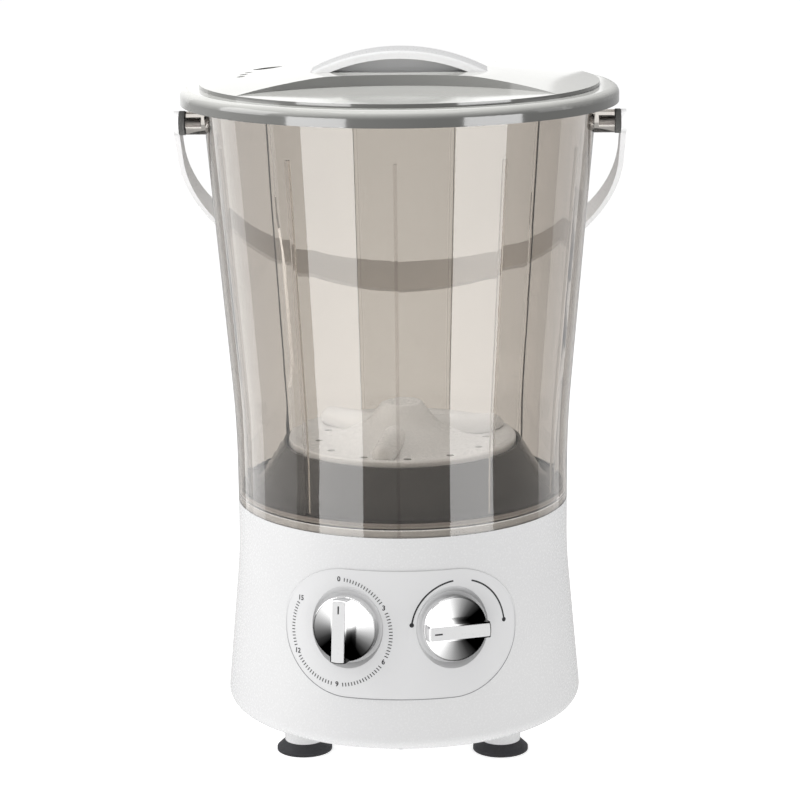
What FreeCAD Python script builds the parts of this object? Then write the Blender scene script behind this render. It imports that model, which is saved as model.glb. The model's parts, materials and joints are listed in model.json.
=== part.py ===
import FreeCAD, Part
import os
import re
import Sketcher

# Mini washing machine: a smoky tub on a white base, with a domed lid, a carry handle and two knobs.
# Millimetres and degrees. Z is up from the floor, the control panel faces -Y, X is to the right.

# Driving dimensions
SIZES = {
    # Clearances
    "loose_gap": 0.3,
    "running_gap": 0.05,
    "overrun": 1,
    # Feet and bottom cover
    "foot_inset": 22,
    "pad_radius": 21,
    "pad_edge": 2.2,
    "pad_neck_radius": 15,
    "pad_plug_radius": 6,
    "pad_plug_length": 6,
    "stem_bottom": 8,
    "stem_radius": 15,
    "cover_margin": 10.6,
    "cover_thickness": 3,
    "cover_screw_inset": 7,
    # Base housing
    "base_bottom": 20,
    "base_wall": 2.5,
    "base_flare": 11.1,
    "base_corner": 9,
    "flare_start": 140,
    "flare_run": 18.5,
    "cover_boss_radius": 5,
    "cover_boss_height": 22,
    "flange_drop": 6,
    "flange_thickness": 3,
    "flange_width": 23.5,
    "lip_thickness": 3.2,
    "lip_height": 5,
    # Wash tub
    "seam_height": 182,
    "tub_height": 308,
    "tub_straight": 58,
    "tub_foot_radius": 127.5,
    "tub_wall": 2.5,
    "bend_run": 32.8,
    "tub_top_radius": 148,
    "rim_width": 10,
    "rim_thickness": 3,
    "ledge_width": 4.5,
    "rib_count": 11,
    "rib_width": 3,
    "rib_depth": 2,
    "rib_drop": 30,
    "tub_screw_count": 6,
    "tub_boss_radius": 5,
    # Tub floor
    "skirt_depth": 8,
    "floor_thickness": 3,
    "floor_ring": 11.95,
    "pedestal_height": 33,
    "pedestal_spread": 21,
    "pedestal_bend": 16,
    "collar_width": 2.2,
    "well_depth": 11,
    "well_thickness": 3,
    # Fasteners
    "screw_radius": 1.9,
    "screw_head_radius": 3.6,
    "screw_head_height": 2.6,
    "screw_bite": 9,
    "lid_screw_radius": 1.2,
    "lid_screw_head_radius": 5,
    # Carry handle and its pivots
    "pivot_drop": 18.5,
    "pivot_boss_radius": 8.8,
    "pivot_thread_radius": 3,
    "pivot_thread_bite": 12,
    "washer_radius": 9.2,
    "washer_thickness": 4,
    "washer_gap": 0.4,
    "shoulder_radius": 3.9,
    "pivot_head_radius": 5.6,
    "pivot_head_height": 1.6,
    "bail_gap": 1.6,
    "bail_thickness": 4,
    "bail_arm": 37,
    "bail_eye_radius": 9,
    "bail_width": 27.2,
    "bail_end_width": 15,
    "bail_middle": 25,
    "bail_soft": 500,
    "bail_rest_gap": 0.53,
    # Lid
    "lid_gap": 4.2,
    "lid_overlap": 2,
    "lid_rise": 10,
    "lid_wall": 2.5,
    "lid_shoulder": 6,
    "lid_shelf_width": 14.7,
    "lid_step": 3,
    "dome_radius": 72,
    "dome_rise": 8,
    "dome_bend": 100,
    "scoop_edge": 37,
    "scoop_bend": 141,
    "seat_inset": 2,
    "plug_gap": 3,
    "plug_depth": 2.2,
    "grip_half_length": 50,
    "grip_half_width": 22,
    "grip_depth": 14,
    "fin_thickness": 6,
    "vent_inset": 31,
    "vent_radius": 3.2,
    "vent_count": 3,
    "vent_start": 166,
    "vent_pitch": 7,
    "pour_radius": 9,
    "pour_angle": 150,
    "pour_length": 9,
    # Lid handle
    "strap_half_span": 66,
    "strap_rise": 16,
    "strap_thickness": 6,
    "strap_width": 40,
    "strap_edge": 2,
    "peg_offset": 60,
    "peg_radius": 3.5,
    "peg_length": 8,
    # Control panel
    "panel_half_width": 86,
    "panel_bottom": 60,
    "panel_top": 157,
    "panel_corner": 46,
    "panel_proud": 1,
    "panel_sink": 1.3,
    "panel_ledge": 8,
    "panel_reach": 20,
    "knob_rise": 4.5,
    "knob_azimuth": 17.6,
    "knob_side_gap": 2.5,
    "knob_well_rim": 7,
    "knob_pad_depth": 12,
    "knob_well_depth": 3.8,
    "knob_well_flare": 7.5,
    # Knobs and what is behind them
    "knob_radius": 24.5,
    "knob_thickness": 9,
    "knob_lift": 0.6,
    "knob_edge": 1.5,
    "bar_width": 12,
    "bar_height": 11,
    "insert_inset": 1.25,
    "insert_thickness": 1.4,
    "insert_margin": 1,
    "mark_width": 1.2,
    "mark_length": 6,
    "mark_depth": 0.5,
    "spindle_radius": 3,
    "spindle_gap": 1,
    "spindle_grip": 10,
    "spindle_depth": 17,
    "switch_width": 38,
    "switch_depth": 32,
    "switch_screw_offset": 14,
    "switch_screw_radius": 1.5,
    "switch_screw_head_radius": 2.8,
    "switch_screw_head_height": 1.8,
    "switch_screw_bite": 6,
    # Motor deck
    "deck_margin": 5.25,
    "deck_thickness": 2,
    # Bearing housing and pulsator shaft
    "bearing_radius": 13,
    "bearing_bore": 8,
    "bearing_drop": 58,
    "bearing_stand": 11,
    "bearing_flange_radius": 26,
    "bearing_flange_thickness": 4,
    "gasket_thickness": 1.5,
    "nut_radius": 20,
    "nut_height": 6,
    "bush_length": 18,
    "seal_length": 5,
    "shaft_radius": 5,
    "shaft_shoulder_radius": 7.5,
    "shaft_end_play": 0.4,
    "shaft_stand": 20,
    "shaft_tail": 9,
    "shaft_nut_radius": 9,
    "shaft_nut_height": 6,
    # Pulsator
    "pulsator_gap": 1.8,
    "pulsator_proud": 4,
    "pulsator_edge_depth": 9,
    "pulsator_skin": 3.5,
    "dip_depth": 4,
    "rim_slope": 14,
    "rim_flat": 5,
    "rim_bend": 6,
    "rim_edge": 1.5,
    "skin_slope": 4,
    "hub_top_radius": 15,
    "hub_edge": 3,
    "hub_waist_radius": 27,
    "hub_waist_rise": 10,
    "hub_waist_bend": 30,
    "hub_wall": 28,
    "hub_foot_bend": 40,
    "hub_nut_gap": 6,
    "hub_pocket_gap": 5,
    "hub_web": 4,
    "cap_radius": 9,
    "cap_recess": 6,
    "cap_thickness": 3,
    "hub_screw_radius": 2.5,
    "hub_screw_head_radius": 5,
    "hub_screw_head_height": 2.6,
    "hub_screw_bite": 12,
    "vane_count": 3,
    "vane_start": 20,
    "vane_inner": 22,
    "vane_inset": 13,
    "vane_inner_radius": 11,
    "vane_outer_radius": 8,
    "vane_rise": 6,
    "flow_hole_count": 12,
    "flow_hole_radius": 3,
    "flow_hole_inset": 23,
    # Motor, pulleys and belt
    "motor_inset": 42,
    "motor_gap": 7,
    "motor_length": 72,
    "shield_wall": 3,
    "shield_depth": 18,
    "coil_space": 1.5,
    "rotor_gap": 0.5,
    "rotor_inset": 2,
    "coil_inset": 9,
    "coil_thickness": 7,
    "coil_height": 8,
    "motor_shaft_radius": 4,
    "motor_bolt_inset": 6,
    "motor_bolt_radius": 2,
    "motor_bolt_head_radius": 4,
    "motor_bolt_head_height": 3,
    "motor_nut_height": 4,
    "bolt_end": 2,
    "grommet_radius": 7,
    "grommet_height": 6,
    "pulley_gap": 6,
    "pulley_height": 16,
    "pulley_space": 9,
    "motor_pitch_radius": 11,
    "groove_width": 7,
    "belt_width": 6,
    "belt_thickness": 5,
    "pulley_flange": 2,
    "pulley_hub_radius": 14,
    "pulley_rim": 7,
    "pulley_web": 5,
    # Capacitor
    "capacitor_x": -70,
    "capacitor_y": 30,
    "capacitor_radius": 16,
    "capacitor_length": 42,
    "clip_band": 14,
    "clip_thickness": 1.6,
    "clip_foot": 14,
    # Drain spout
    "drain_rise": 14.5,
    "spout_radius": 9,
    "spout_bore": 6.5,
    "spout_tip_radius": 8,
    "spout_tip_length": 15,
    "spout_flange_radius": 12,
    "spout_flange_thickness": 2.5,
    "spout_flange_inset": 6,
    "spout_nut_radius": 13,
    "spout_nut_height": 8,
    # Cord gland
    "gland_height": 55,
    "gland_radius": 7,
    "gland_bore": 3.5,
    "gland_flange_radius": 11,
    "gland_flange_thickness": 5.6,
    "gland_reach": 14.6,
    "gland_depth": 13.4,
}

FEET = {"front_left": (-1, -1), "front_right": (1, -1), "rear_left": (-1, 1), "rear_right": (1, 1)}
SIDES = {"left": -1, "right": 1}

# Sizes and places that follow from the driving dimensions
FOLLOWS = {
    "base_foot_radius": "tub_foot_radius + base_flare",
    "base_slope": "base_flare / (flare_start - base_bottom)",
    "flare_bend": "flare_run / tan(atan(base_slope) / 2)",
    "cover_radius": "base_foot_radius - cover_margin",
    "cover_top": "base_bottom + cover_thickness",
    "cover_screw_circle": "cover_radius - cover_screw_inset",
    "foot_offset": "(cover_radius - foot_inset) * cos(45)",
    "flange_bottom": "seam_height - flange_drop",
    "flange_top": "flange_bottom + flange_thickness",
    "flange_inner_radius": "tub_foot_radius - flange_width",
    "skirt_radius": "tub_foot_radius - tub_wall",
    "lip_outer_radius": "skirt_radius - loose_gap",
    "lip_inner_radius": "lip_outer_radius - lip_thickness",
    "lip_top": "seam_height + lip_height",
    "tub_screw_circle": "(flange_inner_radius + lip_inner_radius) / 2",
    "deck_bottom": "flange_bottom - deck_thickness",
    "deck_radius": "tub_screw_circle + deck_margin",
    "floor_bottom": "seam_height + skirt_depth",
    "floor_top": "floor_bottom + floor_thickness",
    "tub_bend_height": "seam_height + tub_straight",
    "tub_top": "seam_height + tub_height",
    "tub_slope": "(tub_top_radius - tub_foot_radius) / (tub_top - tub_bend_height)",
    "tub_bend": "bend_run / tan(atan(tub_slope) / 2)",
    "rim_radius": "tub_top_radius + rim_width",
    "rib_top": "tub_top - rib_drop",
    "floor_radius": "skirt_radius - running_gap",
    "pedestal_foot_radius": "floor_radius - floor_ring",
    "pedestal_top_radius": "pedestal_foot_radius - pedestal_spread",
    "well_radius": "pedestal_top_radius - collar_width",
    "pulsator_radius": "well_radius - pulsator_gap",
    "vane_outer": "pulsator_radius - vane_inset",
    "flow_hole_circle": "pulsator_radius - flow_hole_inset",
    "pedestal_top": "floor_top + pedestal_height",
    "well_floor": "pedestal_top - well_depth",
    "well_bottom": "well_floor - well_thickness",
    "lid_radius": "rim_radius + lid_gap + lid_wall",
    "lid_bottom": "tub_top - lid_overlap",
    "lid_shelf": "tub_top + lid_rise",
    "lid_flat": "lid_shelf + lid_step",
    "lid_crown": "lid_flat + dome_rise",
    "lid_step_radius": "lid_radius - lid_shelf_width",
    "vent_circle": "lid_step_radius - vent_inset",
    "seat_ring_radius": "tub_top_radius + seat_inset",
    "plug_radius": "tub_top_radius - tub_wall - plug_gap - lid_wall",
    "grip_floor": "lid_crown - grip_depth",
    "grip_bend": "(grip_half_length ^ 2 + grip_half_width ^ 2) / (2 * grip_half_width)",
    "strap_bend": "(strap_half_span ^ 2 + strap_rise ^ 2) / (2 * strap_rise)",
    "strap_centre": "lid_crown + strap_rise - strap_bend",
    "pivot_height": "tub_top - pivot_drop",
    "bail_inner_span": "lid_radius + bail_gap",
    "bail_outer_span": "bail_inner_span + bail_thickness",
    "washer_end": "bail_inner_span - washer_gap",
    "pivot_boss_end": "washer_end - washer_thickness",
    "pivot_wall_radius": "tub_foot_radius + tub_slope * (pivot_height - tub_bend_height)",
    "pivot_boss_root": "pivot_wall_radius - tub_wall / 2",
    "bail_length": "bail_arm + bail_inner_span",
    "bail_edge_run": "bail_length + tub_slope * bail_width / 2",
    "bail_edge_fall": "tub_slope * bail_length - bail_width / 2",
    "bail_edge_reach": "sqrt(bail_edge_run ^ 2 + bail_edge_fall ^ 2)",
    "bail_wall_angle": "asin((pivot_wall_radius + bail_rest_gap) / bail_edge_reach)",
    "bail_rest_angle": "bail_wall_angle - atan(bail_edge_fall / bail_edge_run)",
    "knob_height": "(panel_bottom + panel_top) / 2 + knob_rise",
    "knob_ring": "tub_foot_radius + panel_proud + base_slope * (flare_start - knob_height)",
    "knob_well_radius": "knob_radius + knob_side_gap",
    "knob_pad_radius": "knob_well_radius + knob_well_rim",
    "insert_width": "bar_width - 2 * insert_inset",
    "bearing_bottom": "flange_bottom - bearing_drop",
    "bearing_top": "well_floor + bearing_stand",
    "shaft_top": "bearing_top + shaft_stand",
    "cap_floor": "shaft_top + hub_web",
    "hub_top": "cap_floor + cap_recess",
    "hub_pocket_top": "bearing_top + hub_pocket_gap",
    "hub_pocket_radius": "nut_radius + hub_nut_gap",
    "hub_foot_radius": "hub_pocket_radius + hub_wall",
    "pulsator_top": "pedestal_top + pulsator_proud",
    "pulsator_bottom": "pulsator_top - pulsator_edge_depth",
    "pulsator_dip": "pulsator_top - dip_depth",
    "pulsator_under": "pulsator_dip - pulsator_skin",
    "vane_axis": "pulsator_dip + vane_rise",
    "motor_offset": "flange_inner_radius - motor_inset",
    "motor_radius": "motor_offset - bearing_radius - motor_gap",
    "motor_bolt_offset": "(motor_radius - motor_bolt_inset) * cos(45)",
    "coil_outer_radius": "motor_radius - coil_inset",
    "coil_inner_radius": "coil_outer_radius - coil_thickness",
    "stator_bore": "coil_inner_radius - coil_space",
    "driven_pitch_radius": "motor_offset - motor_pitch_radius - pulley_space",
    "motor_top": "deck_bottom - grommet_height",
    "motor_bottom": "motor_top - motor_length",
    "stator_top": "motor_top - shield_depth",
    "stator_bottom": "motor_bottom + shield_depth",
    "pulley_top": "motor_bottom - pulley_gap",
    "pulley_middle": "pulley_top - pulley_height / 2",
    "pulley_bottom": "pulley_top - pulley_height",
    "drain_height": "floor_top + drain_rise",
    "gland_ring": "tub_foot_radius + base_slope * (flare_start - gland_height)",
    "gland_flange_end": "gland_ring + gland_flange_thickness",
    "gland_end": "gland_ring + gland_reach",
    "gland_inner_end": "gland_ring - gland_depth",
}

doc = FreeCAD.newDocument("mini_washer")
sheet = doc.addObject("Spreadsheet::Sheet", "sizes")
for row, (alias, number) in enumerate(SIZES.items(), start=1):
    sheet.set(f"A{row}", alias)
    sheet.set(f"B{row}", str(number))
    sheet.setAlias(f"B{row}", alias)
doc.recompute()

nodes = []
Vector = FreeCAD.Vector
Z_TO_X = FreeCAD.Rotation(Vector(0, 1, 0), 90)
Z_TO_Y = FreeCAD.Rotation(Vector(1, 0, 0), -90)
XY_TO_YZ = FreeCAD.Rotation(Vector(1, 1, 1), 120)


# Helpers

def cell(formula):
    """Point every size name in a formula at its cell, and write out the sizes that follow from others."""
    def reference(word):
        name = word[0]
        if name in FOLLOWS:
            return "(" + cell(FOLLOWS[name]) + ")"
        return "sizes." + name if name in SIZES else name
    return re.sub(r"[a-z]\w*", reference, str(formula))


def value(formula):
    """The number that a formula gives now."""
    return float(sheet.evalExpression(cell(formula)))


def bind(obj, **formulas):
    for prop, formula in formulas.items():
        obj.setExpression(prop, cell(formula))
    return obj


def move(obj, x=0, y=0, z=0, rotation=FreeCAD.Rotation()):
    obj.Placement = FreeCAD.Placement(Vector(value(x), value(y), value(z)), rotation)
    for axis, formula in zip("xyz", (x, y, z)):
        obj.setExpression("Placement.Base." + axis, cell(formula))
    return obj


def node(obj):
    """Keep this object as one of the sub-parts that are written out."""
    nodes.append(obj)
    return obj


def sketch(body, corners, role):
    """A closed outline through (across, up) or (across, up, corner radius) formulas."""
    outline = body.newObject("Sketcher::SketchObject", body.Name + "_outline")
    plane = next(p for p in body.Origin.OriginFeatures if p.Role == role)
    outline.AttachmentSupport = [(plane, "")]
    outline.MapMode = "FlatFace"
    points = [Vector(value(corner[0]), value(corner[1]), 0) for corner in corners]
    count = len(points)
    for i in range(count):
        outline.addGeometry(Part.LineSegment(points[i], points[(i + 1) % count]), False)
    for i in range(count):
        outline.addConstraint(Sketcher.Constraint("Coincident", i, 2, (i + 1) % count, 1))
    for i, (corner, point) in enumerate(zip(corners, points)):
        for kind, formula, number in (("DistanceX", corner[0], point.x), ("DistanceY", corner[1], point.y)):
            index = outline.addConstraint(Sketcher.Constraint(kind, -1, 1, i, 1, number))
            outline.setExpression(f"Constraints[{index}]", cell(formula))
    for i, corner in enumerate(corners):
        if len(corner) == 3:
            radius = value(corner[2])
            first_new = outline.GeometryCount
            outline.fillet((i - 1) % count, 2, radius, True, True)
            arc = next(g for g in range(first_new, outline.GeometryCount)
                       if isinstance(outline.Geometry[g], Part.ArcOfCircle))
            index = outline.addConstraint(Sketcher.Constraint("Radius", arc, radius))
            outline.setExpression(f"Constraints[{index}]", cell(corner[2]))
    return outline


def turned(name, corners):
    """A body of revolution about Z, from an outline of (radius, height) corners."""
    body = doc.addObject("PartDesign::Body", name)
    outline = sketch(body, corners, "XZ_Plane")
    spin = body.newObject("PartDesign::Revolution", name + "_spin")
    spin.Profile = outline
    spin.ReferenceAxis = (outline, ["V_Axis"])
    spin.Angle = 360
    return body


def plate(name, corners, thickness):
    """A body of even thickness above an XY outline."""
    body = doc.addObject("PartDesign::Body", name)
    outline = sketch(body, corners, "XY_Plane")
    pad = body.newObject("PartDesign::Pad", name + "_pad")
    pad.Profile = outline
    bind(pad, Length=thickness)
    return body


def pin(name, radius, low, high):
    """A plain turned rod about Z, free to be placed anywhere."""
    return turned(name, [("0", low), (radius, low), (radius, high), ("0", high)])


def rod(name, radius, start, end, x=0, y=0, z=0, along="z"):
    """A cylinder from start to end along one axis."""
    cylinder = bind(doc.addObject("Part::Cylinder", name), Radius=radius, Height=f"({end}) - ({start})")
    if along == "x":
        return move(cylinder, start, y, z, Z_TO_X)
    if along == "y":
        return move(cylinder, x, start, z, Z_TO_Y)
    return move(cylinder, x, y, start)


def block(name, x_range, y_range, z_range):
    box = doc.addObject("Part::Box", name)
    for prop, (low, high) in zip(("Length", "Width", "Height"), (x_range, y_range, z_range)):
        box.setExpression(prop, cell(f"({high}) - ({low})"))
    return move(box, x_range[0], y_range[0], z_range[0])


def joined(name, *pieces):
    fuse = doc.addObject("Part::MultiFuse", name)
    fuse.Shapes = list(pieces)
    return fuse


def shared(name, *pieces):
    common = doc.addObject("Part::MultiCommon", name)
    common.Shapes = list(pieces)
    return common


def cut(name, whole, *tools):
    result = doc.addObject("Part::Cut", name)
    result.Base = whole
    result.Tool = tools[0] if len(tools) == 1 else joined(name + "_tools", *tools)
    return result


def tube(name, outer, inner, start, end, x=0, y=0, z=0, along="z"):
    return cut(name, rod(name + "_outside", outer, start, end, x, y, z, along),
               rod(name + "_inside", inner, start, end, x, y, z, along))


def on_circle(radius, count, i, start=0):
    """The x and y formulas of the i-th of some places on a circle."""
    angle = f"({start}) + {i} * 360 / ({count})"
    return f"({radius}) * cos({angle})", f"({radius}) * sin({angle})"


def rods_on_circle(name, radius, low, high, circle, count, start=0):
    """One rod for each place on a circle."""
    return [rod(f"{name}_{i}", radius, low, high, *on_circle(circle, count, i, start))
            for i in range(int(value(count)))]


def screw(name, radius, head_radius, head_height, seat, tip, x=0, y=0, upward=True):
    """A headed screw, its head under the seat when it points up and above the seat otherwise."""
    head_end = f"({seat}) - ({head_height})" if upward else f"({seat}) + ({head_height})"
    head = (head_end, seat) if upward else (seat, head_end)
    shank = (seat, tip) if upward else (tip, seat)
    return joined(name, rod(name + "_head", head_radius, *head, x, y),
                  rod(name + "_shank", radius, *shank, x, y))


def knob_frame(side):
    """A frame on the panel's face: Z out along the spindle, Y up, X to the right."""
    turn = FreeCAD.Rotation(Vector(0, 0, 1), side * value("knob_azimuth"))
    lean = FreeCAD.Rotation(Vector(1, 0, 0), 90 - value("atan(base_slope)"))
    return turn.multiply(lean)


def to_knob(obj, side):
    """Place something modelled about the spindle on the panel."""
    across = f"knob_ring * sin({side} * knob_azimuth)"
    return move(obj, across, "-knob_ring * cos(knob_azimuth)", "knob_height", knob_frame(side))


# Feet and bottom cover

def foot_pads():
    top = "stem_bottom"
    plug_top = "stem_bottom + pad_plug_length"
    for place, (x, y) in FEET.items():
        pad = turned("foot_pad_" + place, [
            ("0", "0"), ("pad_radius", "0"), ("pad_radius", "pad_edge"), ("pad_neck_radius", top),
            ("pad_plug_radius", top), ("pad_plug_radius", plug_top), ("0", plug_top)])
        node(move(pad, f"{x} * foot_offset", f"{y} * foot_offset"))


def bottom_cover():
    disc = rod("cover_disc", "cover_radius", "base_bottom", "cover_top")
    stems, bores = [], []
    for place, (x, y) in FEET.items():
        spot = (f"{x} * foot_offset", f"{y} * foot_offset")
        stems.append(rod("stem_" + place, "stem_radius", "stem_bottom", "base_bottom + overrun", *spot))
        bores.append(rod("stem_bore_" + place, "pad_plug_radius + running_gap", "stem_bottom",
                         "stem_bottom + pad_plug_length + loose_gap", *spot))
    holes = rods_on_circle("cover_hole", "screw_radius + loose_gap", "base_bottom", "cover_top",
                           "cover_screw_circle", 4)
    node(cut("bottom_cover", joined("cover_blank", disc, *stems), *bores, *holes))
    screws = []
    for i in range(4):
        x, y = on_circle("cover_screw_circle", 4, i)
        screws.append(screw(f"cover_screw_{i}", "screw_radius", "screw_head_radius", "screw_head_height",
                            "base_bottom", "cover_top + screw_bite", x, y))
    node(joined("cover_screws", *screws))


# Base housing and control panel

def base_surface(name, offset, inner_offset=None):
    """The base's outer surface of revolution moved out by an offset, solid or as a thin shell."""
    def wall(distance):
        return [(f"base_foot_radius + ({distance})", "base_bottom"),
                (f"tub_foot_radius + ({distance})", "flare_start", "flare_bend"),
                (f"tub_foot_radius + ({distance})", "seam_height")]
    if inner_offset is None:
        return turned(name, [("0", "base_bottom")] + wall(offset) + [("0", "seam_height")])
    return turned(name, wall(offset) + wall(inner_offset)[::-1])


def panel_prism(name, grow):
    """The panel's outline run through the front of the base."""
    left, right = f"-panel_half_width - ({grow})", f"panel_half_width + ({grow})"
    low, high = f"panel_bottom - ({grow})", f"panel_top + ({grow})"
    corner = f"panel_corner + ({grow})"
    outline = [(left, low, corner), (right, low, corner), (right, high, corner), (left, high, corner)]
    reach = "base_foot_radius + panel_reach"
    return move(plate(name, outline, reach), rotation=FreeCAD.Rotation(Vector(1, 0, 0), 90))


def base_housing():
    hole = "cover_radius + loose_gap"
    inside = "tub_foot_radius - base_wall"
    ledge = "base_bottom + base_wall"
    shell = turned("housing_shell", [
        (hole, "base_bottom"), ("base_foot_radius", "base_bottom", "base_corner"),
        ("tub_foot_radius", "flare_start", "flare_bend"), ("tub_foot_radius", "seam_height"),
        ("lip_outer_radius", "seam_height"), ("lip_outer_radius", "lip_top"),
        ("lip_inner_radius", "lip_top"), ("lip_inner_radius", "flange_top"),
        ("flange_inner_radius", "flange_top"), ("flange_inner_radius", "flange_bottom"),
        (inside, "flange_bottom"), (inside, "flare_start", "flare_bend"),
        ("base_foot_radius - base_wall", ledge, "base_corner - base_wall"), (hole, ledge)])
    boss_low, boss_high = "cover_top", "cover_top + cover_boss_height"
    bosses = rods_on_circle("cover_boss", "cover_boss_radius", boss_low, boss_high, "cover_screw_circle", 4)
    rib = "cover_boss_radius / 2"
    reach = "base_foot_radius - base_wall - overrun"
    for name, spans in (("x", (f"-({reach})", reach)), ("y", (f"-({rib})", rib))):
        across = (f"-({rib})", rib) if name == "x" else (f"-({reach})", reach)
        bar = block("rib_bar_" + name, spans, across, (boss_low, boss_high))
        bosses.append(cut("rib_" + name, bar, rod("rib_gap_" + name, "cover_screw_circle",
                                                  "base_bottom", "flange_bottom")))
    blank = joined("housing_blank", shell, *bosses)
    bores = rods_on_circle("cover_bore", "screw_radius + running_gap", boss_low, boss_high,
                           "cover_screw_circle", 4)
    holes = rods_on_circle("flange_hole", "screw_radius + loose_gap", "flange_bottom", "flange_top",
                           "tub_screw_circle", "tub_screw_count")
    seat = shared("panel_seat", base_surface("seat_shell", "panel_reach", "-panel_sink"),
                  panel_prism("seat_prism", "running_gap"))
    window = panel_prism("window_prism", "-panel_ledge")
    gland_hole = rod("gland_hole", "gland_radius + running_gap", "gland_inner_end", "gland_end",
                     z="gland_height", along="y")
    node(cut("base_housing", blank, *bores, *holes, seat, window, gland_hole))


def control_panel():
    skin = shared("panel_skin", base_surface("panel_shell", "panel_proud", "-panel_sink"),
                  panel_prism("panel_outline", 0))
    pads, wells = [], []
    for name, side in SIDES.items():
        pad = pin("knob_pad_" + name, "knob_pad_radius", "-knob_pad_depth", "knob_well_rim")
        pads.append(to_knob(pad, side))
        wells.append(to_knob(knob_well(name), side))
    limits = shared("knob_pads", base_surface("pad_limit", "panel_proud"), joined("pad_pair", *pads))
    node(cut("control_panel", joined("panel_blank", skin, limits), *wells))


def knob_well(name):
    """What is cut from the panel round one spindle: a flared dish, the hole and two screw holes."""
    floor = "-knob_well_depth"
    dish = bind(doc.addObject("Part::Cone", "dish_" + name), Radius1="knob_well_radius",
                Radius2="knob_well_radius + knob_well_flare", Height="knob_well_flare")
    move(dish, z=floor)
    pieces = [dish, rod("spindle_hole_" + name, "spindle_radius + spindle_gap", "-knob_pad_depth", 0)]
    for end, x in SIDES.items():
        spot = f"{x} * switch_screw_offset"
        pieces.append(rod(f"switch_hole_{name}_{end}", "switch_screw_radius + running_gap",
                          "-knob_pad_depth", 0, spot))
        pieces.append(rod(f"switch_sink_{name}_{end}", "switch_screw_head_radius + running_gap",
                          f"{floor} - switch_screw_head_height", 0, spot))
    return joined("knob_well_" + name, *pieces)


# Timer, selector and their knobs

def switch_body(label, name, side):
    """The timer or selector block behind the panel, with its screws."""
    back, front = "-knob_pad_depth - switch_depth", "-knob_pad_depth"
    half = "switch_width / 2"
    case = block("case_" + name, (f"-{half}", half), (f"-{half}", half), (back, front))
    bores = [rod("spindle_bore_" + name, "spindle_radius + running_gap",
                 f"{front} - spindle_depth - loose_gap", front)]
    screws = []
    for end, x in SIDES.items():
        spot = f"{x} * switch_screw_offset"
        tip = f"{front} - switch_screw_bite"
        seat = "-knob_well_depth - switch_screw_head_height"
        bores.append(rod(f"switch_bore_{name}_{end}", "switch_screw_radius + running_gap", tip, front, spot))
        screws.append(screw(f"switch_screw_{name}_{end}", "switch_screw_radius", "switch_screw_head_radius",
                            "switch_screw_head_height", seat, tip, spot, upward=False))
    node(to_knob(cut(label + "_body", case, *bores), side))
    node(to_knob(joined(label + "_screws", *screws), side))


def knob(label, name, side, pointer_angle):
    """A knob with a bar across its disc, a white insert on the bar and the spindle that it turns."""
    back = "-knob_well_depth + knob_lift"
    face = f"{back} + knob_thickness"
    top = f"{face} + bar_height"
    disc = turned("disc_" + name, [
        ("0", back), ("knob_radius", back, "knob_edge"), ("knob_radius", face, "knob_edge"), ("0", face)])
    half, reach = "bar_width / 2", "knob_radius"
    bar = shared("bar_" + name, block("bar_block_" + name, (f"-{half}", half), (f"-{reach}", reach),
                                      (f"{face} - overrun", top)),
                 rod("bar_round_" + name, "knob_radius - knob_edge / 2", f"{face} - overrun", top))
    grip = f"{back} + spindle_grip"
    bore = rod("knob_bore_" + name, "spindle_radius", back, grip)
    body = cut(label + "_knob_body", joined("knob_blank_" + name, disc, bar), bore)
    insert = knob_insert(label, name, top)
    spindle = pin(label + "_spindle", "spindle_radius", "-knob_pad_depth - spindle_depth", grip)
    for piece in (body, insert, spindle):
        node(to_knob(piece, side))
        turn = FreeCAD.Rotation(Vector(0, 0, 1), pointer_angle)
        piece.Placement = FreeCAD.Placement(piece.Placement.Base, knob_frame(side).multiply(turn))


def knob_insert(label, name, bottom):
    """The white strip on the bar, with a short pointer line near one end."""
    half, top = "insert_width / 2", f"{bottom} + insert_thickness"
    end = "knob_radius - knob_edge / 2 - insert_margin"
    strip = shared("strip_" + name, block("strip_block_" + name, (f"-{half}", half), (f"-({end})", end),
                                          (bottom, top)),
                   rod("strip_round_" + name, end, bottom, top))
    line_end = f"{end} - mark_length / 2"
    mark = block("mark_" + name, ("-mark_width / 2", "mark_width / 2"),
                 (f"{line_end} - mark_length", line_end), (f"{top} - mark_depth", top))
    return cut(label + "_knob_insert", strip, mark)


# Wash tub

def tub_wall_corners(inset):
    """The sloping wall's bend and top, moved in by an inset."""
    return [(f"tub_foot_radius - ({inset})", "tub_bend_height", "tub_bend"),
            (f"tub_top_radius - ({inset})", "tub_top")]


def wash_tub():
    rim_low, ledge = "tub_top - rim_thickness", "skirt_radius - ledge_width"
    shell = turned("tub_shell", [
        ("tub_foot_radius", "seam_height"), tub_wall_corners(0)[0], ("tub_top_radius", rim_low),
        ("rim_radius", rim_low), ("rim_radius", "tub_top"), tub_wall_corners("tub_wall")[1],
        tub_wall_corners("tub_wall")[0], ("skirt_radius", "floor_bottom"), (ledge, "floor_bottom"),
        (ledge, "lip_top"), ("skirt_radius", "lip_top"), ("skirt_radius", "seam_height")])
    bosses, bores = [], []
    for name, side in SIDES.items():
        start, end = pivot_span(side, "pivot_boss_root", "pivot_boss_end")
        bosses.append(rod("pivot_boss_" + name, "pivot_boss_radius", start, end, z="pivot_height", along="x"))
        start, end = pivot_span(side, "pivot_boss_end - pivot_thread_bite - loose_gap", "pivot_boss_end")
        bores.append(rod("pivot_bore_" + name, "pivot_thread_radius + running_gap", start, end,
                         z="pivot_height", along="x"))
    bores.append(rod("drain_hole", "spout_radius + running_gap", "pedestal_foot_radius", "tub_top_radius",
                     z="drain_height", along="y"))
    return node(cut("wash_tub", joined("tub_blank", shell, tub_ribs(), *bosses), *bores))


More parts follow.
